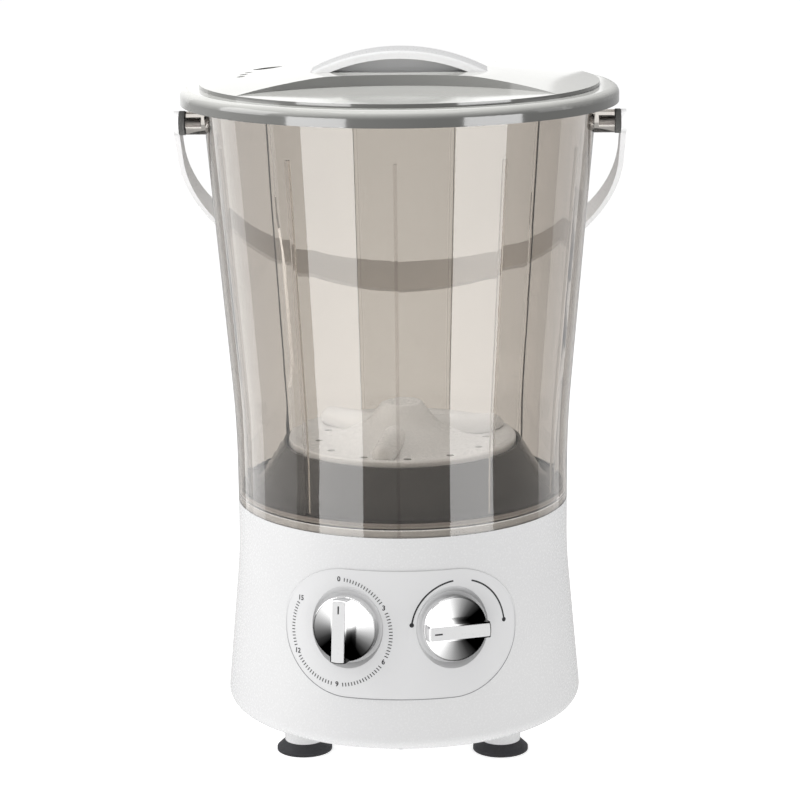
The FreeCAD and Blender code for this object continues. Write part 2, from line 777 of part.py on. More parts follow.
def tub_floor():
    """The pan that closes the tub: a flared pedestal with a well for the pulsator, on screw bosses."""
    hole = "bearing_radius + loose_gap"
    under_foot = "pedestal_foot_radius - floor_thickness"
    under_radius = f"{under_foot} - (well_bottom - floor_bottom) * pedestal_spread / pedestal_height"
    pan = turned("floor_pan", [
        ("floor_radius", "floor_bottom"), ("floor_radius", "floor_top"),
        ("pedestal_foot_radius", "floor_top", "pedestal_bend"), ("pedestal_top_radius", "pedestal_top"),
        ("well_radius", "pedestal_top"), ("well_radius", "well_floor"), (hole, "well_floor"),
        (hole, "well_bottom"), (under_radius, "well_bottom"),
        (under_foot, "floor_bottom", "pedestal_bend + floor_thickness")])
    ring = ("tub_screw_circle", "tub_screw_count")
    bosses = rods_on_circle("floor_boss", "tub_boss_radius", "flange_top", "floor_top - loose_gap", *ring)
    bores = rods_on_circle("floor_bore", "screw_radius + running_gap", "flange_top",
                           "flange_top + screw_bite + loose_gap", *ring)
    node(cut("tub_floor", joined("floor_blank", pan, *bosses), *bores))


def tub_ribs():
    """Shallow upright ribs on the inside of the wall, one of them at the front."""
    outer, inner = tub_wall_corners("tub_wall / 2"), tub_wall_corners("tub_wall + rib_depth")
    foot = "floor_top + running_gap"
    band = turned("rib_band", [
        ("tub_foot_radius - tub_wall / 2", foot), outer[0], outer[1], inner[1], inner[0],
        ("skirt_radius - rib_depth", foot)])
    spokes = []
    for i in range(int(value("rib_count"))):
        spoke = block(f"rib_spoke_{i}", ("0", "tub_top_radius"), ("-rib_width / 2", "rib_width / 2"),
                      (foot, "rib_top"))
        angle = value(f"-90 + {i} * 360 / rib_count")
        turn = FreeCAD.Rotation(Vector(0, 0, 1), angle)
        shift = turn.multVec(Vector(0, -value("rib_width") / 2, 0))
        move(spoke, shift.x, shift.y, foot, turn)
        spokes.append(spoke)
    return shared("tub_ribs", band, joined("rib_spokes", *spokes))


def tub_screws():
    screws = []
    for i in range(int(value("tub_screw_count"))):
        x, y = on_circle("tub_screw_circle", "tub_screw_count", i)
        screws.append(screw(f"tub_screw_{i}", "screw_radius", "screw_head_radius", "screw_head_height",
                            "deck_bottom", "flange_top + screw_bite", x, y))
    node(joined("tub_screws", *screws))


# Carry handle

def pivot_span(side, near, far):
    """From near to far along X on one side, in rising order."""
    return (near, far) if side > 0 else (f"-({far})", f"-({near})")


def pivots():
    head = "bail_outer_span - pivot_head_height"
    for name, side in SIDES.items():
        start, end = pivot_span(side, "pivot_boss_end", "washer_end")
        node(tube("handle_washer_" + name, "washer_radius", "pivot_thread_radius + running_gap", start, end,
                  z="pivot_height", along="x"))
        pieces = []
        for part, radius, near, far in (
                ("thread", "pivot_thread_radius", "pivot_boss_end - pivot_thread_bite", "washer_end"),
                ("shoulder", "shoulder_radius", "washer_end", head),
                ("head", "pivot_head_radius", head, "bail_outer_span")):
            start, end = pivot_span(side, near, far)
            pieces.append(rod(f"pivot_{part}_{name}", radius, start, end, z="pivot_height", along="x"))
        node(joined("handle_screw_" + name, *pieces))


def carry_handle():
    """A flat strap, widest in the middle, bent to a half circle with straight arms and hanging down."""
    outer = "bail_outer_span"
    half = "bail_width / 2"
    hoop = tube("bail_hoop", outer, "bail_inner_span", f"-{half}", half, z="-bail_arm", along="y")
    lower = block("bail_lower", (f"-({outer})", outer), (f"-{half}", half),
                  (f"-bail_arm - ({outer})", "-bail_arm"))
    pieces = [shared("bail_arc", hoop, lower)]
    cuts = []
    for name, side in SIDES.items():
        span = pivot_span(side, "bail_inner_span", outer)
        pieces.append(block("bail_arm_" + name, span, (f"-{half}", half), ("-bail_arm", "bail_eye_radius")))
        cuts.append(rod("bail_bore_" + name, "shoulder_radius + running_gap", *span, along="x"))
        sink = pivot_span(side, f"{outer} - pivot_head_height - washer_gap / 2", outer)
        cuts.append(rod("bail_sink_" + name, "pivot_head_radius + loose_gap", *sink, along="x"))
    tip, middle = "bail_end_width / 2", "bail_middle"
    top_view = plate("bail_top", [
        (f"-({outer})", f"-{tip}"), (f"-{middle}", f"-{half}", "bail_soft"),
        (middle, f"-{half}", "bail_soft"), (outer, f"-{tip}"), (outer, tip), (middle, half, "bail_soft"),
        (f"-{middle}", half, "bail_soft"), (f"-({outer})", tip)], f"bail_arm + {outer}")
    move(top_view, z=f"-bail_arm - ({outer})")
    eyes = rod("bail_eyes", "bail_eye_radius", f"-({outer})", outer, along="x")
    strap = shared("bail_strap", joined("bail_hanging", *pieces), joined("bail_profile", top_view, eyes))
    handle = cut("carry_handle", strap, *cuts)
    node(move(handle, z="pivot_height", rotation=FreeCAD.Rotation(Vector(1, 0, 0), value("bail_rest_angle"))))


# Lid

def lid_scoops(name, grow, low):
    """Front and back cutters that leave a raised band across the lid."""
    return [rod(f"{name}_{end}", f"scoop_bend + ({grow})", low, "lid_crown + overrun",
                y=f"{y} * (scoop_bend + scoop_edge)") for end, y in (("front", -1), ("back", 1))]


def lens(name, grow, low, high):
    """An upright prism pointed at both ends, as the finger recess is in plan."""
    sides = [rod(f"{name}_{end}", f"grip_bend + ({grow})", low, high,
                 y=f"{y} * (grip_bend - grip_half_width)")
             for end, y in (("front", -1), ("back", 1))]
    return shared(name, *sides)


def lid_blank(name, inset, bottom):
    """The lid's outer or inner form: skirt, shelf, step and dome, cut by the two scoops."""
    step_radius, flat = f"lid_step_radius - ({inset})", f"lid_flat - ({inset})"
    form = turned(name + "_form", [
        ("0", bottom), (f"lid_radius - ({inset})", bottom),
        (f"lid_radius - ({inset})", f"lid_shelf - ({inset})", f"lid_shoulder - ({inset})"),
        (step_radius, f"lid_shelf - ({inset})"), (step_radius, flat),
        ("dome_radius", f"{flat} + dome_rise", "dome_bend"), ("0", f"{flat} + dome_rise")])
    return cut(name, form, *lid_scoops(name + "_scoop", inset, flat))


def lid_cover():
    shell = cut("lid_shell", lid_blank("lid_outside", 0, "lid_bottom"),
                lid_blank("lid_inside", "lid_wall", "lid_bottom - overrun"))
    seat = tube("lid_seat", "seat_ring_radius + lid_wall", "seat_ring_radius", "tub_top",
                "lid_shelf - lid_wall / 2")
    plug = tube("lid_plug", "plug_radius + lid_wall", "plug_radius", "tub_top - plug_depth",
                "lid_flat - lid_wall / 2")
    pan = lens("grip_pan", "lid_wall", "grip_floor - lid_wall", "lid_crown - lid_wall / 2")
    pocket = lens("grip_pocket", 0, "grip_floor", "lid_crown + overrun")
    holes = [rod("peg_hole_" + name, "peg_radius + running_gap", "lid_crown - lid_wall - overrun",
                 "lid_crown", x=f"{side} * peg_offset") for name, side in SIDES.items()]
    body = cut("lid_body", joined("lid_solid", shell, seat, plug, pan), pocket, *holes, *lid_vents())
    node(joined("lid_cover", body, grip_fin()))


def grip_fin():
    """The upright web in the finger recess, arched to fit under the handle."""
    low, high = "grip_floor - lid_wall / 2", "lid_crown + strap_rise"
    half = "fin_thickness / 2"
    return shared("grip_fin", lens("fin_limit", "lid_wall / 2", low, high),
                  block("fin_block", ("-grip_half_length", "grip_half_length"), (f"-{half}", half),
                        (low, high)),
                  rod("fin_top", "strap_bend - strap_thickness - running_gap", f"-{half}", half,
                      z="strap_centre", along="y"))


def lid_vents():
    """Small round vents and one longer filling slot near the left rear of the lid."""
    low, high = "lid_shelf - lid_wall", "lid_crown"
    vents = []
    for i in range(int(value("vent_count"))):
        angle = f"(vent_start + {i} * vent_pitch)"
        vents.append(rod(f"vent_{i}", "vent_radius", low, high, f"vent_circle * cos({angle})",
                         f"vent_circle * sin({angle})"))
    half = "pour_length / 2"
    middle = block("pour_middle", ("-pour_radius", "pour_radius"), (f"-{half}", half), (low, high))
    slot = joined("pour_slot", middle, rod("pour_near", "pour_radius", low, high, y=f"-{half}"),
                  rod("pour_far", "pour_radius", low, high, y=half))
    move(slot, "vent_circle * cos(pour_angle)", "vent_circle * sin(pour_angle)", 0,
         FreeCAD.Rotation(Vector(0, 0, 1), value("pour_angle")))
    return vents + [slot]


def lid_handle():
    """A wide arched strap over the finger recess, pegged and screwed to the lid."""
    half = "strap_width / 2"
    arch = tube("strap_arch", "strap_bend", "strap_bend - strap_thickness", f"-{half}", half,
                z="strap_centre", along="y")
    above = block("strap_above", ("-strap_half_span", "strap_half_span"), (f"-{half}", half),
                  ("lid_crown", "lid_crown + strap_rise + overrun"))
    strap = shared("strap_plain", arch, above)
    doc.recompute()
    soft = doc.addObject("Part::Fillet", "strap_soft")
    soft.Base = strap
    radius = value("strap_edge")
    outer = value("strap_bend")
    soft.Edges = [(i, radius, radius) for i, edge in enumerate(strap.Shape.Edges, start=1)
                  if isinstance(edge.Curve, Part.Circle) and abs(edge.Curve.Radius - outer) < 0.01]
    foot, root = "lid_crown - peg_length", "lid_crown + overrun"
    pegs, bores, screws = [], [], []
    for name, side in SIDES.items():
        spot = f"{side} * peg_offset"
        pegs.append(rod("peg_" + name, "peg_radius", foot, root, spot))
        bores.append(rod("peg_bore_" + name, "lid_screw_radius + running_gap", foot, root, spot))
        screws.append(screw("lid_screw_" + name, "lid_screw_radius", "lid_screw_head_radius",
                            "screw_head_height", foot, "lid_crown", spot))
    node(cut("lid_handle", joined("lid_handle_blank", soft, *pegs), *bores))
    node(joined("lid_handle_screws", *screws))


# Motor deck and bearing

def motor_deck():
    low = "deck_bottom"
    disc = rod("deck_disc", "deck_radius", low, "flange_bottom")
    holes = rods_on_circle("deck_screw_hole", "screw_radius + loose_gap", low, "flange_bottom",
                           "tub_screw_circle", "tub_screw_count")
    holes.append(rod("deck_bearing_hole", "bearing_radius + loose_gap", low, "flange_bottom"))
    holes += motor_rods("deck_bolt_hole", "motor_bolt_radius + loose_gap", low, "flange_bottom")
    node(cut("motor_deck", disc, *holes))


def bearing_set():
    under = "well_bottom"
    flange_top = "well_bottom - gasket_thickness"
    barrel = rod("bearing_barrel", "bearing_radius", "bearing_bottom", "bearing_top")
    flange_low = f"{flange_top} - bearing_flange_thickness"
    flange = rod("bearing_flange", "bearing_flange_radius", flange_low, flange_top)
    bore = rod("bearing_through", "bearing_bore", "bearing_bottom", "bearing_top")
    node(cut("bearing_housing", joined("bearing_blank", barrel, flange), bore))
    around = "bearing_radius + running_gap"
    node(tube("tub_gasket", "bearing_flange_radius", around, flange_top, under))
    node(tube("bearing_nut", "nut_radius", around, "well_floor", "well_floor + nut_height"))
    run = "shaft_radius + running_gap"
    seal_low = "bearing_top - seal_length"
    node(tube("shaft_seal", "bearing_bore", run, seal_low, "bearing_top"))
    node(tube("upper_bush", "bearing_bore", run, f"{seal_low} - bush_length", seal_low))
    node(tube("lower_bush", "bearing_bore", run, "bearing_bottom", "bearing_bottom + bush_length"))


# Pulsator and its shaft

def pulsator_shaft():
    shoulder = "bearing_bottom - shaft_end_play"
    tail = "pulley_bottom - shaft_tail"
    seat = "pulley_top"
    body = turned("shaft_form", [
        ("0", tail), ("shaft_radius", tail), ("shaft_radius", seat), ("shaft_shoulder_radius", seat),
        ("shaft_shoulder_radius", shoulder), ("shaft_radius", shoulder), ("shaft_radius", "shaft_top"),
        ("0", "shaft_top")])
    bore = rod("shaft_thread", "hub_screw_radius + running_gap", "shaft_top - hub_screw_bite", "shaft_top")
    node(cut("pulsator_shaft", body, bore))
    node(tube("shaft_nut", "shaft_nut_radius", "shaft_radius + running_gap",
              "pulley_bottom - shaft_nut_height", "pulley_bottom"))


def pulsator():
    thread = "hub_screw_radius + running_gap"
    skin_edge = "pulsator_radius - pulsator_skin"
    disc = turned("pulsator_disc", [
        ("shaft_radius", "hub_pocket_top"), ("shaft_radius", "shaft_top"), (thread, "shaft_top"),
        (thread, "cap_floor"), ("cap_radius", "cap_floor"), ("cap_radius", "hub_top"),
        ("hub_top_radius", "hub_top", "hub_edge"),
        ("hub_waist_radius", "pulsator_top + hub_waist_rise", "hub_waist_bend"),
        ("hub_foot_radius", "pulsator_dip", "hub_foot_bend"),
        ("pulsator_radius - rim_slope", "pulsator_dip", "rim_bend"),
        ("pulsator_radius - rim_flat", "pulsator_top", "rim_bend"),
        ("pulsator_radius", "pulsator_top", "rim_edge"), ("pulsator_radius", "pulsator_bottom"),
        (skin_edge, "pulsator_bottom"), (f"{skin_edge} - skin_slope", "pulsator_under"),
        ("hub_pocket_radius + skin_slope", "pulsator_under"), ("hub_pocket_radius", "hub_pocket_top")])
    vanes = []
    for i in range(int(value("vane_count"))):
        vanes += pulsator_vane(i)
    flow = rods_on_circle("flow_hole", "flow_hole_radius", "pulsator_bottom", "pulsator_top",
                          "flow_hole_circle", "flow_hole_count", "vane_start + 180 / flow_hole_count")
    hollows = [rod("hub_pocket", "hub_pocket_radius", "pulsator_bottom", "hub_pocket_top"),
               rod("skin_hollow", f"{skin_edge} - skin_slope", "pulsator_bottom", "pulsator_under"),
               rod("cap_hollow", "cap_radius", "cap_floor", "hub_top + vane_inner_radius"),
               rod("hub_screw_way", thread, "shaft_top", "hub_top"),
               rod("hub_bore", "shaft_radius", "pulsator_bottom", "shaft_top")]
    node(cut("pulsator", joined("pulsator_blank", disc, *vanes), *flow, *hollows))
    node(screw("pulsator_screw", "hub_screw_radius", "hub_screw_head_radius", "hub_screw_head_height",
               "cap_floor", "shaft_top - hub_screw_bite + loose_gap", upward=False))
    node(rod("pulsator_cap", "cap_radius", "hub_top - cap_thickness", "hub_top"))


def pulsator_vane(i):
    """One rounded ridge that falls from the hub towards the rim."""
    angle = value(f"vane_start + {i} * 360 / vane_count")
    turn = FreeCAD.Rotation(Vector(0, 0, 1), angle)
    ridge = bind(doc.addObject("Part::Cone", f"vane_ridge_{i}"), Radius1="vane_inner_radius",
                 Radius2="vane_outer_radius", Height="vane_outer - vane_inner")
    start = turn.multVec(Vector(value("vane_inner"), 0, 0))
    move(ridge, start.x, start.y, "vane_axis", turn.multiply(Z_TO_X))
    tip = bind(doc.addObject("Part::Sphere", f"vane_tip_{i}"), Radius="vane_outer_radius")
    move(tip, *on_circle("vane_outer", "vane_count", i, "vane_start"), "vane_axis")
    return [ridge, tip]


# Pulleys and belt

def pulley(name, pitch, bore, hub, y=0):
    """A belt pulley with one square groove, a web and a hub."""
    low, middle, high = "pulley_bottom", "pulley_middle", "pulley_top"
    rim = f"({pitch}) + pulley_flange"
    groove = f"({pitch}) - belt_thickness / 2 - loose_gap"
    body = rod(name + "_body", rim, low, high, y=y)
    cuts = [rod(name + "_bore", bore, low, high, y=y),
            tube(name + "_groove", f"{rim} + overrun", groove, f"{middle} - groove_width / 2",
                 f"{middle} + groove_width / 2", y=y)]
    if hub:
        inner_rim = f"{groove} - pulley_rim"
        for end, start, stop in (("under", low, f"{middle} - pulley_web / 2"),
                                 ("over", f"{middle} + pulley_web / 2", high)):
            cuts.append(tube(f"{name}_{end}", inner_rim, hub, start, stop, y=y))
    return node(cut(name, body, *cuts))


def belt_loop(name, offset):
    """The space inside a belt that runs round both pulleys, at an offset from the pitch line."""
    low, high = "pulley_middle - belt_width / 2", "pulley_middle + belt_width / 2"
    big, small = f"(driven_pitch_radius + ({offset}))", f"(motor_pitch_radius + ({offset}))"
    sine = "((driven_pitch_radius - motor_pitch_radius) / motor_offset)"
    cosine = f"sqrt(1 - {sine} ^ 2)"
    sides = [(f"{big} * {cosine}", f"{big} * {sine}"),
             (f"{small} * {cosine}", f"motor_offset + {small} * {sine}"),
             (f"-{small} * {cosine}", f"motor_offset + {small} * {sine}"),
             (f"-{big} * {cosine}", f"{big} * {sine}")]
    between = move(plate(name + "_between", sides, "belt_width"), z=low)
    return joined(name, between, rod(name + "_driven", big, low, high),
                  rod(name + "_motor", small, low, high, y="motor_offset"))


def belt_drive():
    pulley("driven_pulley", "driven_pitch_radius", "shaft_radius", "pulley_hub_radius")
    pulley("motor_pulley", "motor_pitch_radius", "motor_shaft_radius", None, "motor_offset")
    node(cut("drive_belt", belt_loop("belt_outside", "belt_thickness / 2"),
             belt_loop("belt_inside", "-belt_thickness / 2")))


# Motor

def motor_rods(name, radius, low, high):
    """One rod for each of the four motor bolts."""
    return [rod(f"{name}_{place}", radius, low, high, f"{x} * motor_bolt_offset",
                f"motor_offset + {y} * motor_bolt_offset") for place, (x, y) in FEET.items()]


def motor_shield(name, plate_low, plate_high, skirt_low, skirt_high):
    """An end shield: a disc with a short skirt that sits on the stator."""
    disc = rod(name + "_disc", "motor_radius", plate_low, plate_high, y="motor_offset")
    skirt = tube(name + "_skirt", "motor_radius", "motor_radius - shield_wall", skirt_low, skirt_high,
                 y="motor_offset")
    bore = rod(name + "_bore", "motor_shaft_radius + running_gap", plate_low, plate_high, y="motor_offset")
    holes = motor_rods(name + "_hole", "motor_bolt_radius + loose_gap", plate_low, plate_high)
    node(cut(name, joined(name + "_blank", disc, skirt), bore, *holes))


def motor():
    stator_top, stator_low = "stator_top", "stator_bottom"
    motor_shield("motor_upper_shield", "motor_top - shield_wall", "motor_top", stator_top, "motor_top")
    motor_shield("motor_lower_shield", "motor_bottom", "motor_bottom + shield_wall", "motor_bottom",
                 stator_low)
    stack = rod("stator_stack", "motor_radius", stator_low, stator_top, y="motor_offset")
    bore = rod("stator_bore_cut", "stator_bore", stator_low, stator_top, y="motor_offset")
    node(cut("motor_stator", stack, bore,
             *motor_rods("stator_hole", "motor_bolt_radius + loose_gap", stator_low, stator_top)))
    coils = [tube("coil_upper", "coil_outer_radius", "coil_inner_radius", stator_top,
                  f"{stator_top} + coil_height", y="motor_offset"),
             tube("coil_lower", "coil_outer_radius", "coil_inner_radius", f"{stator_low} - coil_height",
                  stator_low, y="motor_offset")]
    node(joined("motor_windings", *coils))
    node(tube("motor_rotor", "stator_bore - rotor_gap", "motor_shaft_radius", f"{stator_low} + rotor_inset",
              f"{stator_top} - rotor_inset", y="motor_offset"))
    node(rod("motor_shaft", "motor_shaft_radius", "pulley_bottom", "motor_top", y="motor_offset"))
    motor_fixings()


def motor_fixings():
    grommets, bolts, nuts = [], [], []
    for place, (x, y) in FEET.items():
        spot = (f"{x} * motor_bolt_offset", f"motor_offset + {y} * motor_bolt_offset")
        grommets.append(tube("grommet_" + place, "grommet_radius", "motor_bolt_radius + running_gap",
                             "motor_top", "deck_bottom", *spot))
        bolts.append(screw("bolt_" + place, "motor_bolt_radius", "motor_bolt_head_radius",
                           "motor_bolt_head_height", "motor_bottom",
                           "flange_bottom + motor_nut_height + bolt_end", *spot))
        nuts.append(tube("nut_" + place, "motor_bolt_head_radius", "motor_bolt_radius + running_gap",
                         "flange_bottom", "flange_bottom + motor_nut_height", *spot))
    node(joined("motor_grommets", *grommets))
    node(joined("motor_bolts", *bolts))
    node(joined("motor_nuts", *nuts))


# Capacitor

def capacitor():
    top, low = "deck_bottom", "deck_bottom - capacitor_length"
    spot = ("capacitor_x", "capacitor_y")
    node(rod("capacitor", "capacitor_radius", low, top, *spot))
    band_low = f"{top} - clip_band - clip_foot"
    outer = "capacitor_radius + running_gap + clip_thickness"
    band = tube("clip_ring", outer, "capacitor_radius + running_gap", band_low, f"{band_low} + clip_band",
                *spot)
    edge = f"capacitor_y + {outer}"
    across = ("capacitor_x - clip_foot / 2", "capacitor_x + clip_foot / 2")
    strip = block("clip_strip", across, (f"{edge} - clip_thickness", edge), (band_low, top))
    tab = block("clip_tab", across, (edge, f"{edge} + clip_foot"), (f"{top} - clip_thickness", top))
    barrel = rod("clip_clear", "capacitor_radius + running_gap", low, top, *spot)
    node(cut("capacitor_clip", joined("clip_blank", band, strip, tab), barrel))


# Drain spout and cord gland

def drain(tub):
    """A flanged spout through the tub's rear wall, sealed inside and held by a nut outside."""
    flange_low = "skirt_radius - spout_flange_inset"
    flange_high = f"{flange_low} + spout_flange_thickness"
    level = {"z": "drain_height", "along": "y"}
    nut_face = "tub_foot_radius + loose_gap"
    nut_end = f"{nut_face} + spout_nut_height"
    pipe_end = f"{nut_end} + spout_flange_thickness / 2"
    tip_end = f"{pipe_end} + spout_tip_length"
    pipe = rod("spout_pipe", "spout_radius", flange_low, pipe_end, **level)
    tip = rod("spout_tip", "spout_tip_radius", pipe_end, tip_end, **level)
    flange = rod("spout_flange", "spout_flange_radius", flange_low, flange_high, **level)
    bore = rod("spout_bore_cut", "spout_bore", flange_low, tip_end, **level)
    node(cut("drain_spout", joined("spout_blank", pipe, tip, flange), bore))
    ring = tube("drain_gasket_ring", "spout_flange_radius", "spout_radius + running_gap", flange_high,
                "skirt_radius", **level)
    node(cut("drain_gasket", ring, tub))
    node(tube("drain_nut", "spout_nut_radius", "spout_radius + running_gap", nut_face, nut_end, **level))


def cord_gland():
    level = {"z": "gland_height", "along": "y"}
    flange = cut("gland_flange", rod("gland_flange_disc", "gland_flange_radius", "gland_inner_end",
                                     "gland_flange_end", **level), base_surface("gland_limit", 0))
    barrel = rod("gland_barrel", "gland_radius", "gland_inner_end", "gland_end", **level)
    bore = rod("gland_bore_cut", "gland_bore", "gland_inner_end", "gland_end", **level)
    node(cut("cord_gland", joined("gland_blank", flange, barrel), bore))


foot_pads()
bottom_cover()
base_housing()
control_panel()
for label, name, pointer_angle in (("timer", "left", 0), ("selector", "right", 90)):
    switch_body(label, name, SIDES[name])
    knob(label, name, SIDES[name], pointer_angle)
wash_tub_object = wash_tub()
tub_floor()
tub_screws()
pivots()
carry_handle()
lid_cover()
lid_handle()
motor_deck()
bearing_set()
pulsator_shaft()
pulsator()
belt_drive()
motor()
capacitor()
drain(wash_tub_object)
cord_gland()
doc.recompute()

# Every object is sound before anything is written
for obj in doc.Objects:
    if {"Invalid", "Error"} & set(obj.State):
        raise RuntimeError(f"{obj.Label} failed: {obj.State}")
for obj in nodes:
    if obj.Shape.isNull() or not obj.Shape.isValid():
        raise RuntimeError(f"{obj.Label} has no sound shape")

os.makedirs("parts", exist_ok=True)
for obj in nodes:
    obj.Shape.exportStep(f"parts/{obj.Label}.step")
    print(f"{obj.Label}: {len(obj.Shape.Solids)} solids, {obj.Shape.Volume:.0f} mm3")
print(len(nodes), "parts")
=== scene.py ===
# %% [markdown]
# # A mini washing machine
# This lesson dresses a finished engineering model of a small top-loading washing machine. The model arrives
# as a fixed frame: every part keeps its place, and Blender adds finishes, printed marks, light and a camera.

# %% Load the fixed frame
import bmesh
import bpy
import json
import math
from mathutils import Matrix, Vector


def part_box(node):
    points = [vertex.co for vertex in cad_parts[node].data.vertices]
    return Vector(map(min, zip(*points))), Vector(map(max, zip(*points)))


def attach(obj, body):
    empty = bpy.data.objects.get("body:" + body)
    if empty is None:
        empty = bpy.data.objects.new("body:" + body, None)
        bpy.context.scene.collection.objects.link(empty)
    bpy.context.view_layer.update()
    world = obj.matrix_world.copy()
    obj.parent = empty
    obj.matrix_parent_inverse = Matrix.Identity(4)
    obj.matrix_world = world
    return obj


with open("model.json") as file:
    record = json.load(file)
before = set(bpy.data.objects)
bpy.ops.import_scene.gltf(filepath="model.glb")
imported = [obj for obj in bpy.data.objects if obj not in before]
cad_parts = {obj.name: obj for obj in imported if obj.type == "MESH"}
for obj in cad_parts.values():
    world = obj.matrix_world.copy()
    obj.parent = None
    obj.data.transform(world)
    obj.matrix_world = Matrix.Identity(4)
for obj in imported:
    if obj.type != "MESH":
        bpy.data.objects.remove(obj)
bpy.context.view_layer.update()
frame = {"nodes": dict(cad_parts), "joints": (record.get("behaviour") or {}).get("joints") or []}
nodes = frame["nodes"]

# %% [markdown]
# ## The camera
# The photograph was taken with a long lens about two metres away, looking down a little. A long lens keeps
# the lid's ellipse flat and the sides of the tub almost straight. The numbers come from fitting the lid,
# the seam under the tub and the feet.

# %% Place the camera
CAMERA_DISTANCE = 1.995
CAMERA_HEIGHT = 0.726
CAMERA_TILT = 13.25
CAMERA_AZIMUTH = 1.4
CAMERA_PAN = 0.045
CAMERA_ROLL = -0.5
FOCAL_PIXELS = 2655
IMAGE_PIXELS = 800

scene = bpy.context.scene
camera_data = bpy.data.cameras.new("photo_camera")
camera_data.sensor_width = 36
camera_data.lens = FOCAL_PIXELS / IMAGE_PIXELS * camera_data.sensor_width
camera_data.clip_end = 100
camera = bpy.data.objects.new("photo_camera", camera_data)
scene.collection.objects.link(camera)
scene.camera = camera
turn = math.radians(CAMERA_AZIMUTH)
camera.location = (CAMERA_DISTANCE * math.sin(turn), -CAMERA_DISTANCE * math.cos(turn), CAMERA_HEIGHT)
camera.rotation_euler = (
    Matrix.Rotation(turn + math.radians(CAMERA_PAN), 3, "Z")
    @ Matrix.Rotation(math.radians(90 - CAMERA_TILT), 3, "X")
    @ Matrix.Rotation(math.radians(CAMERA_ROLL), 3, "Z")
).to_euler()
print("camera lens", round(camera_data.lens, 1), "mm")

# %% [markdown]
# ## The floor
# A studio floor is a pale sheet. It must look white right up to the top of the picture, so it glows a
# little. Glossy surfaces don't see it: in the photograph the tub's wall mirrors tall lamps that reach below
# the table, and a floor in the reflection would cut them off.

# %% Lay the floor
FLOOR_SIZE = 30
floor_mesh = bpy.data.meshes.new("studio_floor")
sheet = bmesh.new()
bmesh.ops.create_grid(sheet, x_segments=1, y_segments=1, size=FLOOR_SIZE / 2)
sheet.to_mesh(floor_mesh)
sheet.free()
floor = bpy.data.objects.new("studio_floor", floor_mesh)
scene.collection.objects.link(floor)
floor.visible_glossy = False

floor_material = bpy.data.materials.new("studio_floor_paper")
floor_material.use_nodes = True
paper = floor_material.node_tree.nodes["Principled BSDF"]
paper.inputs["Base Color"].default_value = (0.92, 0.92, 0.92, 1)
paper.inputs["Roughness"].default_value = 0.9
paper.inputs["Emission Color"].default_value = (1, 1, 1, 1)
paper.inputs["Emission Strength"].default_value = 0.5
floor_mesh.materials.append(floor_material)
print("floor", FLOOR_SIZE, "m across")

# %% [markdown]
# ## The light
# Soft light from everywhere comes from a white world. Broad lamps at both sides, the left one stronger,
# shade the white base, and one overhead lights what faces up. A product photographer also flags lamps, so
# that each lights only one part of the product. Light linking does that here: a lamp can name the parts
# that receive it.

# %% Light the studio
scene.view_settings.view_transform = "Standard"
WORLD_STRENGTH = 0.56
world = bpy.data.worlds.new("studio_world")
world.use_nodes = True
world.node_tree.nodes["Background"].inputs["Color"].default_value = (1, 1, 1, 1)
world.node_tree.nodes["Background"].inputs["Strength"].default_value = WORLD_STRENGTH
scene.world = world


def soft_lamp(name, azimuth, distance, low, high, width, radiance, aim=None, only=None):
    """A rectangular lamp from a low to a high level; azimuth 0 is the camera's side, positive to the right.

    It stands upright unless it is given a height to aim at, and may light only the named parts.
    """
    data = bpy.data.lights.new(name, "AREA")
    data.shape = "RECTANGLE"
    data.size, data.size_y = width, high - low
    data.energy = radiance * math.pi * width * (high - low)
    lamp = bpy.data.objects.new(name, data)
    scene.collection.objects.link(lamp)
    angle, middle = math.radians(azimuth), (low + high) / 2
    lamp.location = (distance * math.sin(angle), -distance * math.cos(angle), middle)
    facing = Vector((0, 0, middle if aim is None else aim)) - lamp.location
    lamp.rotation_euler = facing.to_track_quat("-Z", "Y").to_euler()
    lamp.visible_camera = False
    lamp.visible_transmission = False
    if only:
        lit = bpy.data.collections.new(name + "_lights")
        for part in only:
            lit.objects.link(nodes[part])
        lamp.light_linking.receiver_collection = lit
    print(name, "gives", round(data.energy), "W to", ", ".join(only) if only else "everything")
    return lamp


soft_lamp("left_key", azimuth=-85, distance=2.2, low=0.2, high=2.0,
          width=1.4, radiance=2.8, aim=0.25)
soft_lamp("right_key", azimuth=88, distance=2.4, low=0.3, high=1.5,
          width=1.2, radiance=0.9, aim=0.25)
soft_lamp("top_fill", azimuth=0, distance=0.3, low=1.8, high=3.2,
          width=1.6, radiance=1.2, aim=0.3)

# %% [markdown]
# Some lamps are only there to be mirrored, and give no light of their own to matt surfaces. Two tall strips
# make the two bright upright bands on the tub and on the lid's edge. A glow at the left and two behind
# lighten the tub's sides, and a wide one in front is what the plated knobs mirror. The lid is seen almost
# edge on, so its top mirrors what stands far behind it: a bright wall there, more to the left, makes it
# pale.

